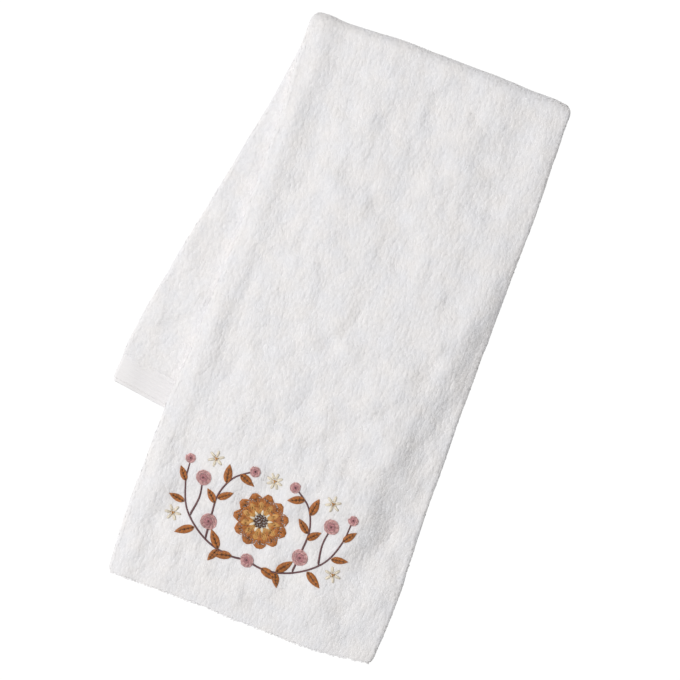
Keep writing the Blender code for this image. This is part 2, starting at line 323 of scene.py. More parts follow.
def front_place(x, depth, t, thick):
    """A point of the front half, which lies with its panel up."""
    below_fold = BEND_START - t
    pitch = thick + LAYER_GAP
    under = depth / pitch
    share = (x + HALF_FLAT) / (2 * HALF_FLAT)
    end_share = ease(below_fold / BEND_START)
    hem_bow = follow(END_DRIFTS, "hem", np.clip(x, -HALF_WIDTH, HALF_WIDTH))
    fold_bow = follow(END_DRIFTS, "fold", np.clip(x, -HALF_WIDTH, HALF_WIDTH))
    left = follow(SIDE_DRIFTS, "left", below_fold)
    right = follow(SIDE_DRIFTS, "right", below_fold)
    inset = HEM_INSET * corner_inset(x, 1 - t / HEM_INSET_LENGTH)
    plan_x = x + left * (1 - share) + right * share - inset
    plan_y = -below_fold - hem_bow * end_share + fold_bow * (1 - end_share)
    rise = support(plan_x, plan_y) + ridge_height(plan_x, plan_y)
    reach = HALF_FLAT + pitch / 2
    puff = (LEFT_PUFF * left_puff(x, reach) - RIGHT_DIP * right_dip(x, reach)) * (1 - under)
    trough = SIDE_TROUGH * bump(HALF_FLAT - np.abs(x) - SIDE_TROUGH_INSET, SIDE_TROUGH_REACH) * (1 - under)
    return plan_x, plan_y, thick / 2 + rise + pitch - depth + puff - trough


def back_place(x, depth, t, thick):
    """A point of the back half, which lies with its panel down."""
    d = (t - BEND_END) * BACK_REACH / (CLOTH_LENGTH - BEND_END)
    pitch = thick + LAYER_GAP
    under = depth / pitch
    row_x, row_y, turn = back_row(d)
    inset = HEM_INSET * corner_inset(x, 1 - (CLOTH_LENGTH - t) / HEM_INSET_LENGTH)
    fold_bow = follow(END_DRIFTS, "fold", np.clip(x, -HALF_WIDTH, HALF_WIDTH)) * (1 - ease(d / BACK_REACH))
    first = 1 - ease(d / SIDE_SETTLE)
    side = follow(SIDE_DRIFTS, "left", 0) * np.clip(-x / HALF_FLAT, 0, 1)
    side = side + follow(SIDE_DRIFTS, "right", 0) * np.clip(x / HALF_FLAT, 0, 1)
    x = x - inset + side * first
    puff = BACK_PUFF * left_puff(x, HALF_FLAT + pitch / 2) * under
    return (
        row_x + x * np.cos(turn),
        row_y - x * np.sin(turn) + fold_bow,
        thick / 2 + depth + puff,
    )


def bend_place(x, depth, t, thick):
    """A point in the cross fold: it turns from the front half's place to the back half's."""
    angle = np.pi * (t - BEND_START) / BEND_ARC
    front = front_place(x, depth, np.full_like(t, BEND_START), thick)
    back = back_place(x, depth, np.full_like(t, BEND_END), thick)
    middle = (front[2] + back[2]) / 2
    radius = (front[2] - back[2]) / 2
    swing = ease(angle / np.pi)
    inset = FOLD_INSET * corner_inset(x, np.sin(angle))
    return (
        front[0] * (1 - swing) + back[0] * swing - inset,
        front[1] * (1 - swing) + back[1] * swing + radius * np.sin(angle),
        middle + radius * np.cos(angle),
    )


def folded(s, t):
    """Where the folds put the middle of the cloth, at s across and t along from the front hem."""
    thick = thickness(t)
    x, depth = side_folds(s, thick + LAYER_GAP)
    front = front_place(x, depth, np.minimum(t, BEND_START), thick)
    bend = bend_place(x, depth, np.clip(t, BEND_START, BEND_END), thick)
    back = back_place(x, depth, np.maximum(t, BEND_END), thick)
    where = [t < BEND_START, t < BEND_END]
    return np.stack([np.select(where, [front[k], bend[k]], back[k]) for k in range(3)], axis=1)


# %% [markdown]
# ## Directions on the folded cloth
#
# A loop or a stitch needs more than a place: it must know which way is across, which way is along, and
# which way is out of the cloth. We ask for the folded places of close neighbours, and take the directions
# between them. The outer face is the one that was on top before the sides were turned under.
#
# The fold functions work from the cross fold, and the frame stands on the middle of its foot, so we also
# work out the shift between the two, from the frame's box.

# %% Directions, and the shift into the frame
NEIGHBOUR = 0.2 * MM
BOX_LINES_ACROSS = 400
BOX_LINES_ALONG = 500


def unit(vectors):
    """The same directions, one long."""
    return vectors / np.linalg.norm(vectors, axis=1, keepdims=True)


def cloth_frame(s, t):
    """The place of each point of the cloth, and its directions across, along and outwards."""
    place = folded(s, t)
    over = folded(s + NEIGHBOUR, t) - folded(s - NEIGHBOUR, t)
    on = folded(s, t + NEIGHBOUR) - folded(s, t - NEIGHBOUR)
    along = unit(on)
    out = unit(np.cross(over, on))
    return place, np.cross(along, out), along, out


def flat_grid(s_places, t_places):
    """Every pair of the two lists, as two flat arrays."""
    s, t = np.meshgrid(s_places, t_places, indexing="ij")
    return s.ravel(), t.ravel()


def shift_into_frame():
    """How far the folded places are from the frame's, by the box of the solid cloth's two faces."""
    lines_across = np.linspace(0, CLOTH_WIDTH, BOX_LINES_ACROSS)
    lines_along = np.linspace(0, CLOTH_LENGTH, BOX_LINES_ALONG)
    s, t = flat_grid(lines_across, lines_along)
    place, _, _, out = cloth_frame(s, t)
    half = thickness(t)[:, None] / 2
    skin = np.concatenate([place + out * half, place - out * half])
    low, high = np.array(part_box("towel"))
    middle = (low + high) / 2 - (skin.min(0) + skin.max(0)) / 2
    print("own box less the frame's, mm:", np.round((np.ptp(skin, axis=0) - (high - low)) / MM, 2).tolist())
    return np.array([middle[0], middle[1], low[2] - skin[:, 2].min()])


SHIFT = shift_into_frame()
print("shift into the frame, mm:", np.round(SHIFT / MM, 2).tolist())

# %% [markdown]
# ## One way to make a mesh
#
# Thousands of small things are quick to make when numpy works out all their points at once. This helper
# turns arrays of points and faces into a Blender object that rides on the towel.
#
# The towel's weight presses its lowest loops against the table. So a point that would reach into the table
# is lifted into a layer half a millimetre thick. The points keep their order in it, one above another,
# because faces that fall together show as black spots.

# %% From arrays to a piece
PRESS_LAYER = 0.5 * MM


def on_table(height):
    """Heights above the table: what would reach into it is pressed into a thin layer, in the same order."""
    pressed_height = PRESS_LAYER * np.exp(np.minimum(height / PRESS_LAYER - 1, 0))
    return np.where(height < PRESS_LAYER, pressed_height, height)


def make_piece(name, points, face_sets, material, soften=None):
    """A smooth mesh object from points in the folds' own place and arrays of faces, one row a face.

    Whatever would reach into the table is pressed thin on it.
    soften gives each point a direction, and its shading normal is turned to it: all the way if it is one
    long, and less if it is shorter.
    """
    faces = [rows for rows in face_sets if len(rows)]
    corners = np.concatenate([rows.ravel() for rows in faces]).astype(np.int32)
    sizes = np.concatenate([np.full(len(rows), rows.shape[1]) for rows in faces])
    starts = np.concatenate([[0], np.cumsum(sizes)[:-1]]).astype(np.int32)
    placed = points + SHIFT
    placed[:, 2] = on_table(placed[:, 2])
    mesh = bpy.data.meshes.new(name)
    mesh.vertices.add(len(placed))
    mesh.vertices.foreach_set("co", placed.astype(np.float32).ravel())
    mesh.loops.add(len(corners))
    mesh.loops.foreach_set("vertex_index", corners)
    mesh.polygons.add(len(starts))
    mesh.polygons.foreach_set("loop_start", starts)
    mesh.update(calc_edges=True)
    mesh.shade_smooth()
    if soften is not None:
        own = np.empty(placed.size, dtype=np.float32)
        mesh.vertices.foreach_get("normal", own)
        share = np.linalg.norm(soften, axis=1, keepdims=True)
        mesh.normals_split_custom_set_from_vertices(unit(own.reshape(-1, 3) * (1 - share) + soften))
    mesh.materials.append(material)
    piece = bpy.data.objects.new(name, mesh)
    bpy.context.scene.collection.objects.link(piece)
    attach(piece, "root")
    triangles = int((sizes - 2).sum())
    print(name, "has", triangles, "triangles")
    return piece


# %% [markdown]
# ## Soft unevenness
#
# Washed cotton is never quite even: the loops lean one way here and another there, and the cloth swells a
# little, but less where a fold stretches it. Blender's noise textures do this in a material. For shapes we
# want the same in numpy: a coarse grid of random numbers, smoothed between its points, and seeded so that
# every run gives the same towel.

# %% Patches and swells
PATCH_CELLS = 256
SWELL = 1.1 * MM
SWELL_SIZE = 15 * MM
SMALL_SWELL = 0.36 * MM
SMALL_SWELL_SIZE = 6.5 * MM
TUFT = 0.12 * MM
TUFT_SIZE = 2.0 * MM
ROLL_CALM = 0.7  # how much of all this the side folds stretch away
BEND_CALM = 0.75  # and how much the cross fold does
BEND_FULLNESS = 0.6 * MM  # how far the pile of the cross fold stands out
HEM_SWELL = 0.3  # the share of all this that is left in the hems
NARROWNESS = 0.55  # a tuft's or a small swell's width, as a share of its length


def patchy(s, t, size, seed):
    """Smooth random values from -1 to 1 over the flat cloth, in patches of about the given size."""
    cells = np.random.default_rng(seed).uniform(-1, 1, (PATCH_CELLS, PATCH_CELLS))
    column_at = np.floor(s / size).astype(int)
    row_at = np.floor(t / size).astype(int)
    right = ease(s / size - column_at)
    up = ease(t / size - row_at)
    corner = {
        (i, j): cells[(column_at + i) % PATCH_CELLS, (row_at + j) % PATCH_CELLS]
        for i in (0, 1)
        for j in (0, 1)
    }
    lower = corner[0, 0] * (1 - right) + corner[1, 0] * right
    upper = corner[0, 1] * (1 - right) + corner[1, 1] * right
    return lower * (1 - up) + upper * up


def on_roll(s):
    """1 at the middle of a side fold's turn, and a soft fall to 0 beside it."""
    return bump(np.abs(s - PANEL_MIDDLE) - HALF_FLAT - SIDE_ARC / 2, SIDE_ARC)


def on_bend(s, t):
    """1 at the middle of the cross fold's outer face, and a soft fall to 0 beside it and under the sides."""
    from_side = np.minimum(s - FLAP_WIDTH, PANEL_END + SIDE_ARC - s)
    return bump(t - (BEND_START + BEND_END) / 2, BEND_ARC / 2) * ease(from_side / SIDE_ARC)


def swell(s, t):
    """How far the cloth's outer face swells or sinks."""
    height = SWELL * patchy(s, t, SWELL_SIZE, seed=11)
    height = height + SMALL_SWELL * patchy(s, t * NARROWNESS, SMALL_SWELL_SIZE, seed=12)
    height = height + TUFT * patchy(s, t * NARROWNESS, TUFT_SIZE, seed=14)
    height = height * (1 - ROLL_CALM * on_roll(s)) * (1 - BEND_CALM * on_bend(s, t))
    height = height + BEND_FULLNESS * on_bend(s, t)
    return height * (HEM_SWELL + (1 - HEM_SWELL) * ease(into_pile(t) / SWELL_SIZE))


def swelled_out(s, t, across, along, out):
    """The outward direction of the swelled face."""
    over = (swell(s + NEIGHBOUR, t) - swell(s - NEIGHBOUR, t)) / (2 * NEIGHBOUR)
    on = (swell(s, t + NEIGHBOUR) - swell(s, t - NEIGHBOUR)) / (2 * NEIGHBOUR)
    return unit(out - across * over[:, None] - along * on[:, None])


print("swells, mm: up to", round((SWELL + SMALL_SWELL + TUFT + BEND_FULLNESS) / MM, 2))

# %% [markdown]
# ## Colours and nodes
#
# The eye reads this towel as white, but its whites differ: a bleached yarn is a little warm, and a washed
# one a little cool. All colours here are the hex values that a picture shows, and one function turns them
# into the linear values that Blender's sockets take. Another adds a node with its settings and its links,
# which are named by the sockets' identifiers.

# %% One function for colour, one for nodes


def colour(code):
    """A hex colour, as a picture shows it, as linear red, green, blue and full alpha."""
    shown = np.array([int(code[k : k + 2], 16) for k in (1, 3, 5)]) / 255
    linear = np.where(shown <= 0.04045, shown / 12.92, ((shown + 0.055) / 1.055) ** 2.4)
    return (*linear.tolist(), 1.0)


def add_node(material, kind, values=None, links=None, **settings):
    """Adds a node: settings are its own options, values its sockets' values, links what feeds them."""
    node = material.node_tree.nodes.new(kind)
    for option, value in settings.items():
        setattr(node, option, value)
    sockets = {socket.identifier: socket for socket in node.inputs}
    for socket, value in (values or {}).items():
        sockets[socket].default_value = value
    for socket, source in (links or {}).items():
        material.node_tree.links.new(source, sockets[socket])
    return {socket.identifier: socket for socket in node.outputs}


def new_material(name):
    """A material with an empty node tree."""
    material = bpy.data.materials.new(name)
    material.use_nodes = True
    material.node_tree.nodes.clear()
    return material


def finished(material, values, links=None):
    """The material with its shader, which has the values and is fed by the links, and its output."""
    shader = add_node(material, "ShaderNodeBsdfPrincipled", values, links)
    add_node(material, "ShaderNodeOutputMaterial", links={"Surface": shader["BSDF"]})
    return material


# %% [markdown]
# ## Cotton terry loops
#
# **What it is:** bleached cotton yarn, woven into loops of about 3 mm and washed soft. It has no shine of
# its own, scatters light through its fibres, and keeps a faint bright fuzz where it turns away from us.
# **How it could be made:** hair, a bump on a flat sheet, or real loops. **Why this way:** the loops show
# singly in the photograph, so they are real, and the material only adds what is finer: the curls of the
# yarn, which are the cells of a Voronoi texture drawn out along the towel, its fibres, a slight difference
# from loop to loop, and slow warm and cool patches.

# %% The terry material
COTTON_IOR = 1.53
WARM_WHITE = "#F9F6F5"
COOL_WHITE = "#F5F4F6"
PATCH_SIZE = 16 * MM
CURL_SIZE = 2.3 * MM  # a bent yarn, as wide as a loop, so that it shows at the picture's 0.74 mm a pixel
CURL_STRETCH = 0.6  # its width, as a share of its length
CURL_DEPTH = 0.78 * MM
FIBRE_SIZE = 0.6 * MM  # a cotton fibre is 0.015 mm, so its tufts are drawn, not single fibres
FIBRE_DEPTH = 0.06 * MM


def terry_material():
    material = new_material("cotton_terry")
    at = add_node(material, "ShaderNodeTexCoord")["Object"]
    patches = add_node(
        material,
        "ShaderNodeTexNoise",
        {"Scale": 1 / PATCH_SIZE, "Detail": 3.0, "Roughness": 0.55},
        {"Vector": at},
    )
    share = add_node(
        material, "ShaderNodeMapRange", {"From Min": 0.35, "From Max": 0.65}, {"Value": patches["Fac"]}
    )
    white = add_node(
        material,
        "ShaderNodeMix",
        {"A_Color": colour(WARM_WHITE), "B_Color": colour(COOL_WHITE)},
        {"Factor_Float": share["Result"]},
        data_type="RGBA",
    )
    each_loop = add_node(material, "ShaderNodeNewGeometry")["Random Per Island"]
    brightness = add_node(
        material, "ShaderNodeMapRange", {"To Min": 0.955, "To Max": 1.0}, {"Value": each_loop}
    )
    tinted = add_node(
        material,
        "ShaderNodeHueSaturation",
        links={"Color": white["Result_Color"], "Value": brightness["Result"]},
    )
    drawn_out = add_node(material, "ShaderNodeMapping", {"Scale": (1, CURL_STRETCH, 1)}, {"Vector": at})
    cells = add_node(
        material, "ShaderNodeTexVoronoi", {"Scale": 1 / CURL_SIZE}, {"Vector": drawn_out["Vector"]}
    )["Distance"]
    squared = add_node(
        material, "ShaderNodeMath", links={"Value": cells, "Value_001": cells}, operation="MULTIPLY"
    )
    round_curl = add_node(
        material, "ShaderNodeMath", {"Value": 1.0}, {"Value_001": squared["Value"]}, operation="SUBTRACT"
    )
    curls = add_node(
        material,
        "ShaderNodeBump",
        {"Strength": 0.5, "Distance": CURL_DEPTH},
        {"Height": round_curl["Value"]},
    )
    tufts = add_node(
        material,
        "ShaderNodeTexNoise",
        {"Scale": 1 / FIBRE_SIZE, "Detail": 4.0, "Roughness": 0.7},
        {"Vector": at},
    )
    relief = add_node(
        material,
        "ShaderNodeBump",
        {"Strength": 0.4, "Distance": FIBRE_DEPTH},
        {"Height": tufts["Fac"], "Normal": curls["Normal"]},
    )
    return finished(
        material,
        {"Roughness": 0.92, "IOR": COTTON_IOR, "Sheen Weight": 0.08, "Sheen Roughness": 0.6},
        {"Base Color": tinted["Color"], "Normal": relief["Normal"]},
    )


COTTON_TERRY = terry_material()
print("made", COTTON_TERRY.name)

# %% [markdown]
# ## Flat-woven cotton
#
# **What it is:** the ground under the loops, and the hems: plain weave, with ribs of weft that run across
# the towel. **How it could be made:** with a brick or a wave texture, or in the mesh. **Why this way:** the
# back hem's ribs are large enough for the mesh. The yarns between them are half a millimetre wide, too fine
# for this picture, so they are drawn at 0.9 mm, as two crossing waves that share the cloth's own `s` and
# `t` through a UV map. The yarn is smoother than the loops, so the hem is a little less rough.

# %% The flat weave material
WEAVE_WARM = "#F5F2F1"
WEAVE_COOL = "#EFEDEF"
YARN_PITCH = 0.9 * MM
YARN_DEPTH = 0.10 * MM
WAVE_UNIT = np.pi / 10  # the wave texture's own period at scale 1


def weave_material():
    material = new_material("cotton_flat_weave")
    flat = add_node(material, "ShaderNodeUVMap", uv_map="flat_cloth")["UV"]
    at = add_node(material, "ShaderNodeTexCoord")["Object"]
    patches = add_node(
        material, "ShaderNodeTexNoise", {"Scale": 1 / PATCH_SIZE, "Detail": 2.0}, {"Vector": at}
    )
    white = add_node(
        material,
        "ShaderNodeMix",
        {"A_Color": colour(WEAVE_WARM), "B_Color": colour(WEAVE_COOL)},
        {"Factor_Float": patches["Fac"]},
        data_type="RGBA",
    )
    yarns = []
    for direction in ("X", "Y"):
        yarns.append(
            add_node(
                material,
                "ShaderNodeTexWave",
                {"Scale": WAVE_UNIT / YARN_PITCH, "Distortion": 1.5, "Detail": 1.0, "Detail Scale": 2.0},
                {"Vector": flat},
                wave_type="BANDS",
                bands_direction=direction,
            )["Fac"]
        )
    crossing = add_node(
        material, "ShaderNodeMath", links={"Value": yarns[0], "Value_001": yarns[1]}, operation="MULTIPLY"
    )
    relief = add_node(
        material, "ShaderNodeBump", {"Strength": 0.5, "Distance": YARN_DEPTH}, {"Height": crossing["Value"]}
    )
    return finished(
        material,
        {"Roughness": 0.85, "IOR": COTTON_IOR, "Sheen Weight": 0.1, "Sheen Roughness": 0.5},
        {"Base Color": white["Result_Color"], "Normal": relief["Normal"]},
    )


COTTON_WEAVE = weave_material()
print("made", COTTON_WEAVE.name)

# %% [markdown]
# ## The cloth
#
# **What it is:** the woven ground, from edge to edge, with its two hems. **How it could be made:** a plane
# with a Solidify modifier, or both faces worked out point by point. **Why this way:** the back hem's ribs
# and groove change only the faces and not the middle, and an end is a rounded turn, so we place both faces
# ourselves and close them with a rounded rim. The ground is thinner than the frame's solid: the loops fill
# the rest.

# %% The cloth's mesh
GROUND_THICKNESS = 2.0 * MM
RIB_PITCH = 2.7 * MM
RIB_HEIGHT = 0.38 * MM
RIB_WANDER = 0.35
HEM_GROOVE = 0.35 * MM
HEM_GROOVE_AT = 2.2 * MM
HEM_GROOVE_WIDTH = 0.6 * MM
RIM_ROUNDING = 0.9 * MM
RIM_BULGE = 0.25  # how far the rim stands out, as a share of the hem's thickness
FLATTEST_END = 0.2

Stretch = namedtuple("Stretch", "end step")
ACROSS = (
    Stretch(FLAP_WIDTH - 44 * MM, 9 * MM),
    Stretch(FLAP_WIDTH, 3.2 * MM),
    Stretch(PANEL_START, SIDE_ARC / 10),
    Stretch(PANEL_END, 3.2 * MM),
    Stretch(PANEL_END + SIDE_ARC, SIDE_ARC / 10),
    Stretch(PANEL_END + SIDE_ARC + 44 * MM, 3.2 * MM),
    Stretch(CLOTH_WIDTH, 9 * MM),
)
ALONG = (
    Stretch(RIM_ROUNDING, RIM_ROUNDING / 2),
    Stretch(HEM_DEPTH + HEM_STEP / 2, RIB_PITCH / 5),
    Stretch(BEND_START, 4.5 * MM),
    Stretch(BEND_END, BEND_ARC / 14),
    Stretch(CLOTH_LENGTH - HEM_DEPTH - HEM_STEP / 2, 5.5 * MM),
    Stretch(CLOTH_LENGTH - RIM_ROUNDING, RIB_PITCH / 5),
    Stretch(CLOTH_LENGTH, RIM_ROUNDING / 2),
)


def stations(stretches):
    """Every place along one side of the flat cloth where its mesh has a line."""
    places = [0.0]
    for stretch in stretches:
        steps = max(1, round((stretch.end - places[-1]) / stretch.step))
        places += list(np.linspace(places[-1], stretch.end, steps + 1)[1:])
    return np.array(places)


def face_height(s, t):
    """How far the ground's outer face is from the middle of the cloth."""
    from_end = np.minimum(t, CLOTH_LENGTH - t)
    in_hem = hem_share(t)
    at_back = t > CLOTH_LENGTH / 2
    ribs = RIB_HEIGHT * (0.5 + 0.5 * np.cos(2 * np.pi * from_end / RIB_PITCH)) * at_back
    ribs = ribs * (1 - RIB_WANDER * (0.5 + 0.5 * patchy(s, t, SMALL_SWELL_SIZE, seed=13)))
    ribs = ribs * (1 - ROLL_CALM * on_roll(s))
    groove = HEM_GROOVE * bump(from_end - HEM_GROOVE_AT, HEM_GROOVE_WIDTH) * at_back
    hem_half = HEM_THICKNESS / 2 - RIB_HEIGHT + ribs - groove
    half = GROUND_THICKNESS / 2 * (1 - in_hem) + hem_half * in_hem
    from_rim = 1 - np.clip(from_end / RIM_ROUNDING, 0, 1)
    rounding = np.sqrt(np.clip(1 - from_rim**2, FLATTEST_END, 1))
    return half * rounding + swell(s, t)


def make_cloth():
    """The closed sheet: its outer face, its inner face and a rounded rim between them."""
    s_places = stations(ACROSS)
    t_places = stations(ALONG)
    wide, long = len(s_places), len(t_places)
    s, t = flat_grid(s_places, t_places)
    place, across, along, out = cloth_frame(s, t)
    height = face_height(s, t)[:, None]
    inner_height = height - 2 * swell(s, t)[:, None]
    number = np.arange(wide * long).reshape(wide, long)
    edge = np.concatenate([number[:-1, 0], number[-1, :-1], number[:0:-1, -1], number[0, :0:-1]])
    outward = along * ((t == CLOTH_LENGTH) * 1.0 - (t == 0))[:, None]
    outward = outward + across * ((s == CLOTH_WIDTH) * 1.0 - (s == 0))[:, None]
    rim = place[edge] + outward[edge] * RIM_BULGE * HEM_THICKNESS
    points = np.concatenate([place + out * height, place - out * inner_height, rim])
    corners = [number[:-1, :-1], number[1:, :-1], number[1:, 1:], number[:-1, 1:]]
    quads = np.stack(corners, axis=-1).reshape(-1, 4)
    inner = quads[:, ::-1] + wide * long
    turn = np.arange(len(edge))
    then = np.roll(turn, -1)
    rim_from = 2 * wide * long
    upper = np.stack([edge[then], edge[turn], rim_from + turn, rim_from + then], axis=-1)
    lower = np.stack([rim_from + then, rim_from + turn, edge[turn], edge[then]], axis=-1)
    lower[:, 2:] += wide * long
    piece = make_piece("towel_cloth", points, [quads, inner, upper, lower], COTTON_WEAVE)
    flat_s = np.concatenate([s, s, s[edge]])
    flat_t = np.concatenate([t, t, t[edge]])
    corner = np.empty(len(piece.data.loops), dtype=np.int32)
    piece.data.loops.foreach_get("vertex_index", corner)
    layer = piece.data.uv_layers.new(name="flat_cloth")
    layer.data.foreach_set("uv", np.stack([flat_s, flat_t], axis=1)[corner].astype(np.float32).ravel())
    return piece


towel_cloth = make_cloth()

# %% [markdown]
# ## The embroidery's plan
#
# **What it is:** a spray of flowers, sewn by machine in glossy thread, centred above the front hem. The
# middle flower is caramel with a cream ring and a dark, knotted heart. Two plum-brown stems cross under it
# and sweep out and up, with caramel leaves, rose rosettes and small cream daisies.
#
# **How it could be made:** a picture on the cloth would be flat, and bump would have no edge. **Why this
# way:** thread is a thing with a thickness, so each stitch is a small tapered tube from one needle hole to
# the next. A sewer plans stitches on the flat cloth, and so do we: `x` is measured from the panel's
# middle, `y` from the hem's edge. The folds then carry them.

# %% Stitches as a plan
THREAD = 0.8 * MM
THREAD_PITCH = 0.64 * MM
STITCH_LENGTH = 4.6 * MM
SEWING_LIFT = GROUND_THICKNESS / 2 + 0.35 * MM
MOTIF_X = -9 * MM
MOTIF_Y = 72 * MM

Stitch = namedtuple("Stitch", "x0 y0 x1 y1 width start middle end")
THREADS = ("caramel", "gold", "dark_brown", "cream", "light_rose", "deep_rose", "plum_brown")
sewing = {name: [] for name in THREADS}
draw = np.random.default_rng(5)


def sew(thread, start, end, lifts, width=THREAD):
    """Adds one stitch to the plan: lifts are its heights above the ground at its start, middle and end."""
    sewing[thread].append(Stitch(*start, *end, width, *lifts))


def heading(degrees):
    """The direction at an angle from +x, and the one to its left."""
    angle = np.radians(degrees)
    return np.array([np.cos(angle), np.sin(angle)]), np.array([-np.sin(angle), np.cos(angle)])


print("embroidery threads:", ", ".join(sewing))

# %% [markdown]
# A petal is filled with long and short stitches that fan out from its foot. A leaf is filled from its
# middle rib outwards, first one side and then the other, which sewers call fishbone.

# %% Petals and leaves
PETAL_DOME = 0.45 * MM
PETAL_FOOT = 0.3  # a petal's foot, as a share of its width
PETAL_SHOULDER = 0.62  # where it is widest, as a share of its length
PETAL_SIDE = 0.96
PETAL_TIP = 0.99
EDGE_DOME = 0.3  # the share of the dome that is left at a petal's ends
EDGE_DIP = 0.42 * MM
JOINT_DIP = 0.12 * MM
LEAF_RAKE = 0.2
LEAF_TIP = 0.985


def petal_half(u):
    """A petal's half width, as a share, from its foot at 0 to its round tip at 1."""
    spread = PETAL_FOOT + (1 - PETAL_FOOT) * ease(u / PETAL_SHOULDER)
    past = np.clip(u - PETAL_SHOULDER, 0, None) / (1 - PETAL_SHOULDER)
    return spread * np.sqrt(np.clip(1 - past**2, 0, 1))


def sew_petal(thread, foot, degrees, length, width, lift):
    """Long and short stitches, fanned over a petal."""
    forward, side = heading(degrees)
    for across in np.linspace(-PETAL_SIDE, PETAL_SIDE, max(3, round(width / THREAD_PITCH))):
        count = max(1, round(length / STITCH_LENGTH))
        cuts = (np.arange(1, count) + draw.uniform(-0.3, 0.3, count - 1)) / count
        ends = np.concatenate([[0.0], cuts, [PETAL_TIP]])
        dome = PETAL_DOME * (1 - across**2)
        at_edge = lift + dome * EDGE_DOME - EDGE_DIP
        at_joint = lift + dome - JOINT_DIP
        for first, last in zip(ends[:-1], ends[1:]):
            start = foot + forward * length * first + side * across * width / 2 * petal_half(first)
            end = foot + forward * length * last + side * across * width / 2 * petal_half(last)
            start_lift = at_edge if first == 0 else at_joint
            end_lift = at_edge if last == PETAL_TIP else at_joint
            sew(thread, start, end, (start_lift, lift + dome, end_lift))


def leaf_half(u):
    """A leaf's half width, as a share, from its foot at 0 to its pointed tip at 1."""
    return np.sin(np.pi * np.clip(u, 0, 1) ** 0.85) ** 0.8


def sew_leaf(thread, rib, foot, degrees, length, width, lift):
    """Fishbone stitches from the middle rib to both edges, and a rib with small veins on them."""
    forward, side = heading(degrees)
    for hand in (-1, 1):
        for u in np.arange(0.01, 0.97, THREAD_PITCH / length):
            edge = min(u + LEAF_RAKE, LEAF_TIP)
            start = foot + forward * length * u - side * hand * 0.15 * MM
            end = foot + forward * length * edge + side * hand * width / 2 * leaf_half(edge)
            sew(thread, start, end, (lift + 0.1 * MM, lift + 0.3 * MM, lift - EDGE_DIP))
    over = lift + 0.45 * MM
    for u in np.arange(0.04, 0.8, 0.2):
        start = foot + forward * length * u
        sew(rib, start, start + forward * length * 0.2, (over - JOINT_DIP, over, over - JOINT_DIP))
        for hand in (-1, 1):
            end = start + forward * length * 0.16 + side * hand * width * 0.3 * leaf_half(u + 0.16)
            sew(rib, start, end, (over - JOINT_DIP, over - 0.05 * MM, over - 0.3 * MM), THREAD * 0.8)


# %% [markdown]
# A rosette is worked round and round from its rim to its heart. A knot is thread wound on itself, and
# three short crossed stitches stand for its turns. A stem is a rope of slanted stitches along a curve.

# %% Rosettes, knots, daisies and stems
KNOT_DIP = 0.2 * MM
KNOT_RISE = 0.25 * MM
ROSETTE_STITCH = 3.4 * MM
ROSETTE_CORE = 0.9 * MM  # the last round's radius
ROSETTE_RISE = 0.5 * MM  # how far its heart stands above its rim
DEEP_SHARE = 0.56  # how much of its radius is in the deeper tone
STEM_STEP = 0.55 * MM
STEM_STITCH = 2.8 * MM
STEM_TAPER = 0.45
STEM_DIP = 0.3 * MM
STEM_RISE = 0.15 * MM


def sew_knot(thread, at, size, lift):
    """A knot: three short stitches that cross."""
    lifts = (lift - KNOT_DIP, lift + KNOT_RISE, lift - KNOT_DIP)
    for degrees in (10, 70, 130):
        forward, _ = heading(degrees + draw.uniform(-15, 15))
        ends = forward * size / 2
        sew(thread, at - ends, at + ends, lifts, THREAD * 1.25)


def sew_rosette(outer, inner, heart, at, radius, lift):
    """Stitches that go round from the rim to the heart, which stands highest."""
    angle = draw.uniform(0, 360)
    reach = radius - THREAD / 2
    while reach > ROSETTE_CORE:
        length = min(ROSETTE_STITCH, reach * 1.1)
        turn = np.degrees(length / reach)
        rise = lift + ROSETTE_RISE * (1 - reach / radius)
        jitter = draw.uniform(-0.16, 0.16) * MM
        start = at + heading(angle)[0] * (reach + jitter)
        end = at + heading(angle + turn * 1.15)[0] * (reach + jitter * 0.4 - 0.1 * MM)
        dip = EDGE_DIP if reach > radius - THREAD_PITCH else JOINT_DIP * 1.6
        thread = inner if reach < radius * DEEP_SHARE else outer
        sew(thread, start, end, (rise - dip, rise + 0.08 * MM, rise - dip))
        angle += turn
        reach -= THREAD_PITCH * 0.9 * turn / 360
    sew_knot(heart, at, 1.7 * MM, lift + ROSETTE_RISE)


def sew_daisy(thread, heart, at, radius, petals, lift):
    """Small petals round a few knots."""
    first = draw.uniform(0, 360 / petals)
    for k in range(petals):
        degrees = first + 360 * k / petals
        foot = at + heading(degrees)[0] * radius * 0.22
        sew_petal(thread, foot, degrees, radius * 0.78, radius * 0.78, lift - 0.15 * MM)
    for degrees in (30, 150, 270):
        sew_knot(heart, at + heading(degrees)[0] * 0.75 * MM, 1.4 * MM, lift + 0.25 * MM)


def smooth_path(points, step):
    """Places a step apart on a smooth curve through the points."""
    points = np.array(points)
    padded = np.concatenate([[2 * points[0] - points[1]], points, [2 * points[-1] - points[-2]]])
    u = np.linspace(0, 1, 40, endpoint=False)[:, None]
    runs = []
    for a, b, c, d in zip(padded[:-3], padded[1:-2], padded[2:-1], padded[3:]):
        bend = (c - a) * u + (2 * a - 5 * b + 4 * c - d) * u**2 + (3 * b - a - 3 * c + d) * u**3
        runs.append(b + bend / 2)
    curve = np.concatenate([*runs, points[-1:]])
    reach = np.concatenate([[0], np.cumsum(np.linalg.norm(np.diff(curve, axis=0), axis=1))])
    marks = np.arange(0, reach[-1], step)
    return np.stack([np.interp(marks, reach, curve[:, k]) for k in range(2)], axis=1)


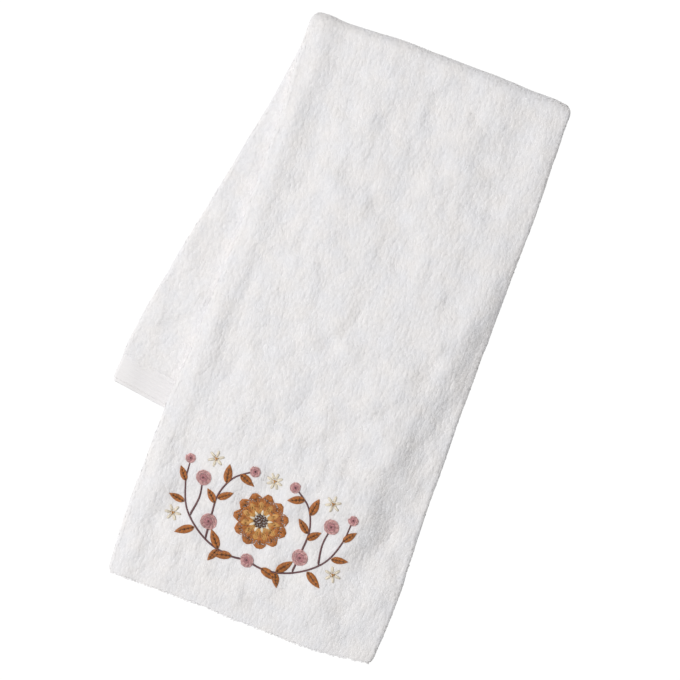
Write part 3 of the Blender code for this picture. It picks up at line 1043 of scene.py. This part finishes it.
def sew_stem(thread, points, width, lift):
    """A rope of slanted stitches along a curve through the points, thinner towards its end."""
    path = smooth_path(points, STEM_STEP)
    ahead = round(STEM_STITCH / STEM_STEP)
    for k in range(len(path) - ahead):
        run = path[k + ahead] - path[k]
        side = np.array([-run[1], run[0]]) / np.hypot(*run)
        half = width / 2 * (1 - STEM_TAPER * k / len(path))
        lifts = (lift - STEM_DIP, lift + STEM_RISE, lift - STEM_DIP)
        sew(thread, path[k] - side * half, path[k + ahead] + side * half, lifts)


# %% [markdown]
# Now the plan itself. It is the same on both sides of its middle, so each table holds one side, and a loop
# sews it twice. Stems go down first, then leaves, and the flowers go on top, as on a real machine, which
# sews what lies behind before what lies in front.

# %% The spray of flowers
STEM_WIDTH = 1.5 * MM
STEMS = (
    ((5, -27), (-14, -30.5), (-34, -25), (-52, -10), (-60, 9), (-62, 25)),
    ((-33, -25.5), (-34.5, -8), (-35, 9), (-29, 24), (-17, 33.6)),
    ((-49, -13), (-47, 2), (-49, 15)),
)
Leaf = namedtuple("Leaf", "x y degrees length width")
LEAVES = (
    Leaf(-11, -30, 196, 15, 6.6),
    Leaf(-22, -29.5, 246, 11, 5.6),
    Leaf(-22, -29, 128, 15, 6.6),
    Leaf(-43, -20, 214, 15, 6.4),
    Leaf(-56, -5, 170, 12.5, 5.6),
    Leaf(-60, 10, 128, 12, 5.4),
    Leaf(-35, 2, 136, 12, 5.8),
    Leaf(-34.6, 6, 40, 12.5, 5.8),
    Leaf(-32, 19, 100, 14, 6.6),
    Leaf(-25, 28.5, -22, 13, 6.2),
)
Flower = namedtuple("Flower", "x y radius")
ROSETTES = (
    Flower(-35, -12.5, 6.6),
    Flower(-49, 17, 6.2),
    Flower(-15.5, 34, 4.6),
    Flower(-62.5, 27, 4.4),
)
DAISIES = (
    Flower(-61, -15.5, 6.2),
    Flower(-45, 33, 6.2),
)
BLOOM = Flower(0, 2, 20.5)
BLOOM_KNOTS = 30
BLOOM_HEART = 0.245  # its heart, as a share of its radius
NEXT_SEED_DEG = 137.5  # the turn from one seed of a flower to the next
TOP_DAISY = Flower(0, 33, 6.4)
FOOT_ROSETTE = Flower(0, -28.5, 5.6)


def on_cloth(x, y, hand):
    """A place in the spray, in millimetres from its middle and mirrored if hand is -1, on the flat cloth."""
    return np.array([MOTIF_X + x * hand * MM, MOTIF_Y + y * MM])


def mirrored(degrees, hand):
    """The heading of a mirrored leaf."""
    return degrees if hand == 1 else 180 - degrees


def sew_side(hand):
    """One side of the spray."""
    for points in STEMS:
        sew_stem("plum_brown", [on_cloth(x, y, hand) for x, y in points], STEM_WIDTH, SEWING_LIFT)
    for leaf in LEAVES:
        foot = on_cloth(leaf.x, leaf.y, hand)
        size = (leaf.length * MM, leaf.width * MM)
        sew_leaf("caramel", "dark_brown", foot, mirrored(leaf.degrees, hand), *size, SEWING_LIFT + 0.05 * MM)
    for rose in ROSETTES:
        at = on_cloth(rose.x, rose.y, hand)
        sew_rosette("light_rose", "deep_rose", "plum_brown", at, rose.radius * MM, SEWING_LIFT + 0.15 * MM)
    for daisy in DAISIES:
        at = on_cloth(daisy.x, daisy.y, hand)
        sew_daisy("cream", "gold", at, daisy.radius * MM, 6, SEWING_LIFT + 0.15 * MM)


def sew_bloom():
    """The middle flower: two rings of petals, a cream ring and a heart of knots."""
    at = on_cloth(BLOOM.x, BLOOM.y, 1)
    radius = BLOOM.radius * MM
    Ring = namedtuple("Ring", "thread petals start end width turn lift")
    rings = (
        Ring("caramel", 11, 0.30, 1.00, 0.52, 0.0, 0.05 * MM),
        Ring("gold", 11, 0.24, 0.72, 0.34, 0.5, 0.25 * MM),
        Ring("cream", 9, 0.20, 0.46, 0.26, 0.2, 0.45 * MM),
    )
    for ring in rings:
        for k in range(ring.petals):
            degrees = 90 + 360 * (k + ring.turn) / ring.petals
            foot = at + heading(degrees)[0] * radius * ring.start
            length = radius * (ring.end - ring.start)
            sew_petal(ring.thread, foot, degrees, length, radius * ring.width, SEWING_LIFT + ring.lift)
            if ring.thread == "caramel":
                vein_foot = at + heading(degrees)[0] * radius * 0.66
                vein_tip = at + heading(degrees)[0] * radius * 0.86
                over = SEWING_LIFT + ring.lift + PETAL_DOME + 0.12 * MM
                sew("dark_brown", vein_foot, vein_tip, (over - 0.2 * MM, over, over - 0.25 * MM))
    for k in range(BLOOM_KNOTS):
        spread = radius * BLOOM_HEART * np.sqrt((k + 0.5) / BLOOM_KNOTS)
        knot_at = at + heading(NEXT_SEED_DEG * k)[0] * spread
        sew_knot("dark_brown", knot_at, 1.7 * MM, SEWING_LIFT + 0.75 * MM)


def sew_spray():
    """The whole plan, in sewing order."""
    for hand in (1, -1):
        sew_side(hand)
    rose, daisy = FOOT_ROSETTE, TOP_DAISY
    at = on_cloth(rose.x, rose.y, 1)
    sew_rosette("light_rose", "deep_rose", "plum_brown", at, rose.radius * MM, SEWING_LIFT + 0.25 * MM)
    sew_daisy("cream", "gold", on_cloth(daisy.x, daisy.y, 1), daisy.radius * MM, 8, SEWING_LIFT)
    sew_bloom()


sew_spray()
print("stitches:", {name: len(stitches) for name, stitches in sewing.items()})

# %% [markdown]
# ## Embroidery thread
#
# ** What it is:** rayon thread, two plies of straight, glossy filament. That gives the eye a satin light
# along each stitch, much smoother than cotton, and a tone that differs a little from stitch to stitch,
# because each one is turned another way. That difference is painted sheen: each stitch's colour is made
# lighter or darker at random. The dye is strong, so the colours are deep. **How it could be made:**
# anisotropic shading follows a thread, but needs tangents on every tube. **Why this way:** the stitches
# are real and lie in all directions, so one middling roughness gives each its own light.

# %% The thread materials
RAYON_IOR = 1.52
THREAD_COLOURS = {
    "caramel": "#BC7230",
    "gold": "#D6A058",
    "dark_brown": "#5E3718",
    "cream": "#EFE4CE",
    "light_rose": "#DCABA9",
    "deep_rose": "#C48A8E",
    "plum_brown": "#6E4749",
}
FILAMENT_SIZE = 0.25 * MM


def thread_material(name, code):
    material = new_material("rayon_thread_" + name)
    at = add_node(material, "ShaderNodeTexCoord")["Object"]
    each_stitch = add_node(material, "ShaderNodeNewGeometry")["Random Per Island"]
    # Painted sheen: each stitch's colour is made lighter or darker at random, standing in for the satin
    # light that a stitch catches at its own turn.
    painted_sheen_tone = add_node(material, "ShaderNodeMapRange", {"To Min": 0.74, "To Max": 1.18}, {"Value": each_stitch})
    dye_and_painted_sheen = add_node(
        material, "ShaderNodeHueSaturation", {"Color": colour(code)}, {"Value": painted_sheen_tone["Result"]}
    )
    filaments = add_node(
        material, "ShaderNodeTexNoise", {"Scale": 1 / FILAMENT_SIZE, "Detail": 2.0}, {"Vector": at}
    )
    relief = add_node(
        material, "ShaderNodeBump", {"Strength": 0.3, "Distance": 0.05 * MM}, {"Height": filaments["Fac"]}
    )
    return finished(
        material,
        {"Roughness": 0.4, "IOR": RAYON_IOR, "Sheen Weight": 0.15},
        {"Base Color": dye_and_painted_sheen["Color"], "Normal": relief["Normal"]},
    )


# %% [markdown]
# A stitch has a needle hole at each end and three rings of four points between them. All stitches of one
# thread are worked out together and become one mesh.

# %% From the plan to thread
RING_AT = np.array([0.0, 0.14, 0.5, 0.86, 1.0])
RING_SIZE = np.array([0.8, 1.0, 0.8])
RING_TURN = np.radians([0, 90, 180, 270])
FLATNESS = 0.8


def tube_faces(rings, sides):
    """The faces of a tube with a point at each end: triangles for its ends, quads between its rings."""
    tips = (0, rings * sides + 1)
    ends = []
    quads = []
    for k in range(sides):
        n = (k + 1) % sides
        ends.append([tips[0], 1 + k, 1 + n])
        ends.append([tips[1], 1 + (rings - 1) * sides + n, 1 + (rings - 1) * sides + k])
        for ring in range(rings - 1):
            low = 1 + ring * sides
            quads.append([low + n, low + k, low + sides + k, low + sides + n])
    return np.array(ends), np.array(quads)


def repeat_faces(faces, count, points_each):
    """The same faces for each of many copies, each with its own points."""
    return (faces[None] + (np.arange(count) * points_each)[:, None, None]).reshape(-1, faces.shape[1])


def thread_piece(name, stitches, material, origin_s=PANEL_MIDDLE, origin_t=0.0):
    """One mesh of tapered tubes, from stitches planned about a place on the flat cloth."""
    plan = {field: column(stitches, field) for field in Stitch._fields}
    count = len(stitches)
    x = plan["x0"][:, None] + (plan["x1"] - plan["x0"])[:, None] * RING_AT
    y = plan["y0"][:, None] + (plan["y1"] - plan["y0"])[:, None] * RING_AT
    lift = (
        plan["start"][:, None] * (1 - 2 * RING_AT) * (1 - RING_AT)
        + plan["middle"][:, None] * 4 * RING_AT * (1 - RING_AT)
        + plan["end"][:, None] * RING_AT * (2 * RING_AT - 1)
    )
    s = origin_s + x.ravel()
    t = origin_t + y.ravel()
    place, across, along, out = cloth_frame(s, t)
    centre = place + out * (lift.ravel() + swell(s, t))[:, None]
    centre = centre.reshape(count, len(RING_AT), 3)
    run = np.hypot(plan["x1"] - plan["x0"], plan["y1"] - plan["y0"])
    ahead_x = np.repeat((plan["x1"] - plan["x0"]) / run, len(RING_AT))[:, None]
    ahead_y = np.repeat((plan["y1"] - plan["y0"]) / run, len(RING_AT))[:, None]
    side = (across * ahead_y - along * ahead_x).reshape(count, len(RING_AT), 3)
    up = out.reshape(count, len(RING_AT), 3)
    half = plan["width"][:, None, None, None] / 2 * RING_SIZE[None, :, None, None]
    around = side[:, 1:4, None] * np.cos(RING_TURN)[:, None]
    around = around + up[:, 1:4, None] * FLATNESS * np.sin(RING_TURN)[:, None]
    rings = (centre[:, 1:4, None] + around * half).reshape(count, -1, 3)
    points = np.concatenate([centre[:, :1], rings, centre[:, 4:]], axis=1)
    ends, quads = tube_faces(3, len(RING_TURN))
    each = points.shape[1]
    faces = [repeat_faces(ends, count, each), repeat_faces(quads, count, each)]
    return make_piece(name, points.reshape(-1, 3), faces, material)


for name, stitches in sewing.items():
    dyed_thread = thread_material(name, THREAD_COLOURS[name])
    thread_piece("embroidery_" + name, stitches, dyed_thread)

# %% [markdown]
# ## Hem stitching
#
# **What it is:** one row of machine stitches that holds the back hem, in a shallow groove close to its
# edge. It is white cotton thread, so it shows only by its shadow. **How it could be made:** as a bump or as
# thread. **Why this way:** the embroidery's tubes do it at once, in the cotton material. Only the stretch
# that can be seen is sewn.

# %% The hem's row
HEM_ROW_SHOWN = 70 * MM
HEM_STITCH = 2.3 * MM
HEM_STITCH_PITCH = 3.0 * MM
HEM_THREAD = 0.45 * MM
HEM_LIFT = HEM_THICKNESS / 2 - 0.1 * MM


def hem_row(first, last, t):
    """Stitches in a row across the cloth at one t."""
    ends = (HEM_LIFT - 0.15 * MM, HEM_LIFT + 0.05 * MM, HEM_LIFT - 0.15 * MM)
    starts = np.arange(first, last, HEM_STITCH_PITCH)
    return [Stitch(s, t, s + HEM_STITCH, t, HEM_THREAD, *ends) for s in starts]


back_row_stitches = hem_row(FLAP_WIDTH - HEM_ROW_SHOWN, PANEL_END, CLOTH_LENGTH - HEM_GROOVE_AT)
hem_thread = thread_piece("hem_stitching", back_row_stitches, COTTON_TERRY, origin_s=0.0)

# %% [markdown]
# ## Where the loops stop
#
# The needle presses the loops down where it sews. So the loops must know where the embroidery is: we mark
# its stitches on a fine grid over the flat cloth, once for where there are no loops, and once, wider, for
# where they are pressed low.

# %% Marks for the sewn places
MARK = 0.5 * MM
NO_LOOPS_WITHIN = 1.3 * MM
PRESSED_WITHIN = 3.0 * MM
MARKS_ACROSS = int(2 * HALF_FLAT / MARK)
MARKS_UP = int(140 * MM / MARK)  # a little more than the embroidery's reach from the edge
SPOTS_A_STITCH = 12


def mark_sewing(reach):
    """A grid over the lower panel that is true within the reach of a stitch."""
    marks = np.zeros((MARKS_ACROSS, MARKS_UP), dtype=bool)
    share = np.linspace(0, 1, SPOTS_A_STITCH)
    spots = []
    for stitches in sewing.values():
        x = column(stitches, "x0")[:, None] * (1 - share) + column(stitches, "x1")[:, None] * share
        y = column(stitches, "y0")[:, None] * (1 - share) + column(stitches, "y1")[:, None] * share
        spots.append(np.stack([(x.ravel() + HALF_FLAT) / MARK, y.ravel() / MARK], axis=1).astype(int))
    spots = np.unique(np.concatenate(spots), axis=0)
    span = int(np.ceil(reach / MARK))
    for i in range(-span, span + 1):
        for j in range(-span, span + 1):
            if np.hypot(i, j) * MARK <= reach:
                marks[spots[:, 0] + i, spots[:, 1] + j] = True
    return marks


def read_marks(marks, s, t):
    """What the grid says at places on the cloth."""
    i = ((s - PANEL_START) / MARK).astype(int)
    j = (t / MARK).astype(int)
    inside = (i >= 0) & (i < MARKS_ACROSS) & (j >= 0) & (j < MARKS_UP)
    return inside & marks[np.clip(i, 0, MARKS_ACROSS - 1), np.clip(j, 0, MARKS_UP - 1)]


sewn = mark_sewing(NO_LOOPS_WITHIN)
pressed = mark_sewing(PRESSED_WITHIN)
print("sewn area, square mm:", round(sewn.sum() * (MARK / MM) ** 2))

# %% [markdown]
# ## The loops
#
# **What they are:** each loop is a short arch of soft yarn that has fallen over, about 3 mm long, mostly
# along the towel. They stand so close that only their backs show, so they are drawn a little long and wide,
# and overlap. **How they could be made:** hair is thinner than yarn and can't be exported, and Geometry
# Nodes could scatter copies of one loop. **Why this way:** here every loop has its own length, lean and
# bow, and lies on a known cloth, so numpy shapes them all at once from one small template. They go only
# where the towel can be seen: its outer faces, and a little way under each fold. The faces that lie on the
# table have fewer and larger ones.

# %% Places for the loops
LOOP_ACROSS = 1.3 * MM
LOOP_ALONG = 2.05 * MM
ROLL_CROWDING = 0.85  # a side fold's loops stand closer, because it shows them from the side
LOOP_JITTER = 0.33
TUCKED = 8 * MM  # how far they go on under a fold or another layer
OVER_HEM = 4 * MM
PAST_EDGE = 0.9 * MM  # how far the first row stands out past the front edge
PAST_BEND = 14 * MM
SHOWN_RIGHT_ROLL = 150 * MM
SWUNG_WIDTH = 80 * MM
UNDERSIDE_SPACING = 1.5
UNDER_START = 4.5 * MM
UNDER_END = 340 * MM


def loop_grid(first, last, start, end, seed, crowding=1.0, spacing=1.0):
    """Staggered, jittered places for loops over a stretch of the flat cloth, and how large each loop is."""
    rng = np.random.default_rng(seed)
    pitch = LOOP_ACROSS * crowding * spacing
    row = LOOP_ALONG * spacing
    s, t = flat_grid(np.arange(first, last, pitch), np.arange(start, end, row))
    odd = (np.round((s - first) / pitch).astype(int) % 2) * 0.5
    s = s + rng.uniform(-LOOP_JITTER, LOOP_JITTER, len(s)) * pitch
    t = t + (odd + rng.uniform(-LOOP_JITTER, LOOP_JITTER, len(t))) * row
    t = np.maximum(t, start)
    keep = (s > first) & (s < last) & (t < end)
    return s[keep], t[keep], np.full(keep.sum(), spacing)


def front_left_edge(y):
    """How far left the front half reaches at a place below the fold."""
    return -HALF_WIDTH + follow(SIDE_DRIFTS, "left", np.clip(-y, 0, SIDE_DRIFTS[-1].distance))


def swung_loops(back_end):
    """Loops on the back half's left flap, where it shows beside the front half."""
    s, t, size = loop_grid(FLAP_WIDTH - SWUNG_WIDTH, FLAP_WIDTH, BEND_END, back_end, 31)
    place = folded(s, t)
    keep = place[:, 0] < front_left_edge(place[:, 1]) + TUCKED
    return s[keep], t[keep], size[keep]


def turned_under_loops(first, last, seed):
    """Loops on a side that is turned under the front half, where the back half leaves it free below."""
    s, t, size = loop_grid(first, last, UNDER_START, UNDER_END, seed, spacing=UNDERSIDE_SPACING)
    place = folded(s, t)
    across, along = back_local(place[:, 0], place[:, 1])
    keep = (np.abs(across) > HALF_WIDTH - TUCKED) | (along > BACK_REACH - TUCKED)
    return s[keep], t[keep], size[keep]


def loop_places():
    """All the loops' places, by where they lie."""
    panel_end = BEND_END + PAST_BEND
    back_end = CLOTH_LENGTH - HEM_DEPTH + OVER_HEM
    right_end = BEND_END + SHOWN_RIGHT_ROLL
    roll_right = PANEL_END + SIDE_ARC
    return {
        "panel": loop_grid(PANEL_START, PANEL_END, -PAST_EDGE, panel_end, 21),
        "left_roll": loop_grid(FLAP_WIDTH, PANEL_START, -PAST_EDGE, back_end, 22, ROLL_CROWDING),
        "right_roll": loop_grid(PANEL_END, roll_right, -PAST_EDGE, right_end, 23, ROLL_CROWDING),
        "left_tuck": loop_grid(FLAP_WIDTH - TUCKED, FLAP_WIDTH, -PAST_EDGE, BEND_START, 24),
        "right_tuck": loop_grid(roll_right, roll_right + TUCKED, -PAST_EDGE, BEND_START, 25),
        "swung_flap": swung_loops(back_end),
        "left_under": turned_under_loops(0, FLAP_WIDTH - TUCKED, 27),
        "right_under": turned_under_loops(roll_right + TUCKED, CLOTH_WIDTH, 28),
        "underside": loop_grid(PANEL_START, PANEL_END, panel_end, back_end, 26, spacing=UNDERSIDE_SPACING),
    }


places = loop_places()
print("loops:", {name: len(found[0]) for name, found in places.items()})

# %% [markdown]
# The template gives each of a loop's points as a share of its length, width and height. Loops that
# face the table or another layer are lower, because the weight of the cloth lies on them.

# %% The shape of a loop
LoopPoint = namedtuple("LoopPoint", "along side height")
LOOP_SIDES = 3
LOOP_RINGS = 2
LOOP_POINTS = (
    LoopPoint(-0.50, 0.00, -0.10),
    LoopPoint(-0.31, 0.45, 0.00),
    LoopPoint(-0.25, 0.00, 0.94),
    LoopPoint(-0.31, -0.45, 0.00),
    LoopPoint(0.31, 0.45, 0.00),
    LoopPoint(0.25, 0.00, 1.00),
    LoopPoint(0.31, -0.45, 0.00),
    LoopPoint(0.50, 0.00, -0.10),
)
LOOP_LENGTH = 3.6 * MM
LOOP_WIDTH = 2.2 * MM
LOOP_HEIGHT = 0.6 * MM
LOW_LOOP = 0.25 * MM
SHORTEST = 0.4  # the size of the loops next to a hem, as a share
HEM_FADE = 9 * MM
EDGE_TURN = 4 * MM  # within this of the front edge the loops turn to lie along it
PRESSED = 0.62
DRIFT_DEG = 30  # how far whole patches of loops lean to one side
SPREAD_DEG = 17  # how far single loops do
DRIFT_SIZE = 9 * MM
SOFTNESS = 0.8  # how far a loop's shading follows the cloth, as soft fibres do, and not its own form
FULLNESS_SPREAD = (-0.16, 0.16)
LENGTH_SPREAD = (-0.18, 0.2)
WIDTH_SPREAD = (-0.16, 0.18)
BOW_SPREAD = (-0.25, 0.25)  # how far a loop bends to a side, as a share of its width
LEAN_SPREAD = (-0.3, 0.3)  # and how far it leans, as a share of its height
MOST_LOOPS = 16000  # 12 triangles each, so that a piece has 192,000


def loop_points(s, t, spacing, seed):
    """The points of every loop at the places given, and the direction to which each one's shading turns."""
    rng = np.random.default_rng(seed)
    count = len(s)
    place, across, along, out = cloth_frame(s, t)
    angle = DRIFT_DEG * patchy(s, t, DRIFT_SIZE, seed=41) + rng.normal(0, SPREAD_DEG, count)
    along_edge = 90 * (1 - ease((t + PAST_EDGE) / EDGE_TURN))
    angle = np.radians(angle + along_edge)[:, None]
    ahead = along * np.cos(angle) + across * np.sin(angle)
    side = across * np.cos(angle) - along * np.sin(angle)
    fullness = 1 + 0.13 * patchy(s, t, SMALL_SWELL_SIZE, seed=42) + rng.uniform(*FULLNESS_SPREAD, count)
    height = LOOP_HEIGHT * fullness * np.where(read_marks(pressed, s, t), PRESSED, 1.0)
    size = SHORTEST + (1 - SHORTEST) * ease((into_pile(t) + OVER_HEM) / HEM_FADE)
    height = height * size
    height = LOW_LOOP + (height - LOW_LOOP) * ease(0.3 + 1.2 * out[:, 2])
    length = LOOP_LENGTH * (1 + rng.uniform(*LENGTH_SPREAD, count)) * (0.4 + 0.6 * size) * spacing
    width = LOOP_WIDTH * (1 + rng.uniform(*WIDTH_SPREAD, count)) * size * spacing
    bow = width * rng.uniform(*BOW_SPREAD, count)
    lean = rng.uniform(*LEAN_SPREAD, count) * height
    foot = place + out * face_height(s, t)[:, None]
    shape_along = column(LOOP_POINTS, "along")
    shape_side = column(LOOP_POINTS, "side")
    shape_height = column(LOOP_POINTS, "height")
    sideways = width[:, None] * shape_side + bow[:, None] * (1 - 4 * shape_along**2)
    sideways = sideways + lean[:, None] * shape_height
    points = foot[:, None] + ahead[:, None] * (length[:, None] * shape_along)[..., None]
    points = points + side[:, None] * sideways[..., None]
    points = points + out[:, None] * (height[:, None] * shape_height)[..., None]
    softness = SOFTNESS * ease(0.5 + 1.5 * out[:, 2])
    leaning = swelled_out(s, t, across, along, out) * softness[:, None]
    return points, np.repeat(leaning, len(LOOP_POINTS), axis=0)


def make_loops():
    """The pile, in pieces that each stay small enough to work with."""
    s, t, spacing = (np.concatenate(column_of) for column_of in zip(*places.values()))
    kept = np.flatnonzero(~read_marks(sewn, s, t))
    kept = kept[np.argsort(t[kept], kind="stable")]
    ends, quads = tube_faces(LOOP_RINGS, LOOP_SIDES)
    pieces = []
    for k, first in enumerate(range(0, len(kept), MOST_LOOPS)):
        part = kept[first : first + MOST_LOOPS]
        points, outwards = loop_points(s[part], t[part], spacing[part], seed=50 + k)
        each = points.shape[1]
        faces = [repeat_faces(ends, len(part), each), repeat_faces(quads, len(part), each)]
        name = "terry_loops_" + str(k + 1)
        pieces.append(make_piece(name, points.reshape(-1, 3), faces, COTTON_TERRY, outwards))
    return pieces


loops = make_loops()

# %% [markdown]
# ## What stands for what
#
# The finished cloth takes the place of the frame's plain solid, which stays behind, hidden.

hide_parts("towel")

# %% [markdown]
# ## A bright table, soft light and the camera
#
# The picture was taken from straight above, on a table as bright as paper, with the light from the left:
# the left rolls are the lightest, the right ones are grey, and no shadow falls. A table that is a light
# itself does the same: its glow makes it white, and its own colour is so dark that no shadow shows on it.
# A large lamp high on the left stays soft, and an even sky fills the rest.

# %% The table
FLOOR_SIZE = 6.0
FLOOR_DROP = 0.15 * MM  # below the towel's foot, so that the two don't flicker
FLOOR_DARK = "#202020"
FLOOR_GLOW = 1.02


def make_floor():
    """A wide white table that glows, so that no shadow shows on it."""
    bpy.ops.mesh.primitive_plane_add(size=FLOOR_SIZE, location=(0, 0, -FLOOR_DROP))
    floor = bpy.context.object
    floor.name = "table"
    values = {"Base Color": colour(FLOOR_DARK), "Roughness": 1.0}
    glow = {"Emission Color": colour("#FFFFFF"), "Emission Strength": FLOOR_GLOW}
    floor.data.materials.append(finished(new_material("bright_paper"), {**values, **glow}))
    return floor


make_floor()

# %% The light
PHOTO_TURN_DEG = 19.85  # how far the towel is turned in the picture
LAMP_FROM_DEG = 165  # in the picture: 0 is its right, 90 its top, 180 its left
LAMP_HEIGHT_DEG = 60
LAMP_DISTANCE = 2.2
LAMP_SIZE = 1.8
LAMP_POWER = 37.5
SKY = 0.325


def make_light():
    """One large lamp from the picture's left, and an even sky."""
    turn = np.radians(LAMP_FROM_DEG + PHOTO_TURN_DEG)
    rise = np.radians(LAMP_HEIGHT_DEG)
    lamp_data = bpy.data.lights.new("soft_lamp", "AREA")
    lamp_data.energy = LAMP_POWER
    lamp_data.size = LAMP_SIZE
    lamp = bpy.data.objects.new("soft_lamp", lamp_data)
    bpy.context.scene.collection.objects.link(lamp)
    plan = LAMP_DISTANCE * np.cos(rise)
    lamp.location = (plan * np.cos(turn), plan * np.sin(turn), LAMP_DISTANCE * np.sin(rise))
    lamp.rotation_euler = (0, np.pi / 2 - rise, turn)
    world = bpy.data.worlds.new("soft_sky")
    world.use_nodes = True
    background = world.node_tree.nodes["Background"]
    background.inputs["Color"].default_value = colour("#FFFFFF")
    background.inputs["Strength"].default_value = SKY
    bpy.context.scene.world = world
    bpy.context.scene.view_settings.view_transform = "Standard"


make_light()

# %% The camera
PHOTO_WIDTH = 502 * MM  # what the picture takes in, at the towel
SENSOR = 36.0
CAMERA_HEIGHT = 2.0
VIEW_X = 21.6 * MM
VIEW_Y = -0.8 * MM
TOWEL_TOP = 10 * MM


def make_camera():
    """A camera straight above, far enough away for the sides to stay upright."""
    camera_data = bpy.data.cameras.new("camera")
    camera_data.sensor_width = SENSOR
    camera_data.lens = SENSOR * (CAMERA_HEIGHT - TOWEL_TOP) / PHOTO_WIDTH
    camera = bpy.data.objects.new("camera", camera_data)
    camera.location = (VIEW_X, VIEW_Y, CAMERA_HEIGHT)
    camera.rotation_euler = (0, 0, np.radians(PHOTO_TURN_DEG))
    bpy.context.scene.collection.objects.link(camera)
    bpy.context.scene.camera = camera
    print("lens, mm:", round(camera_data.lens, 1))


make_camera()
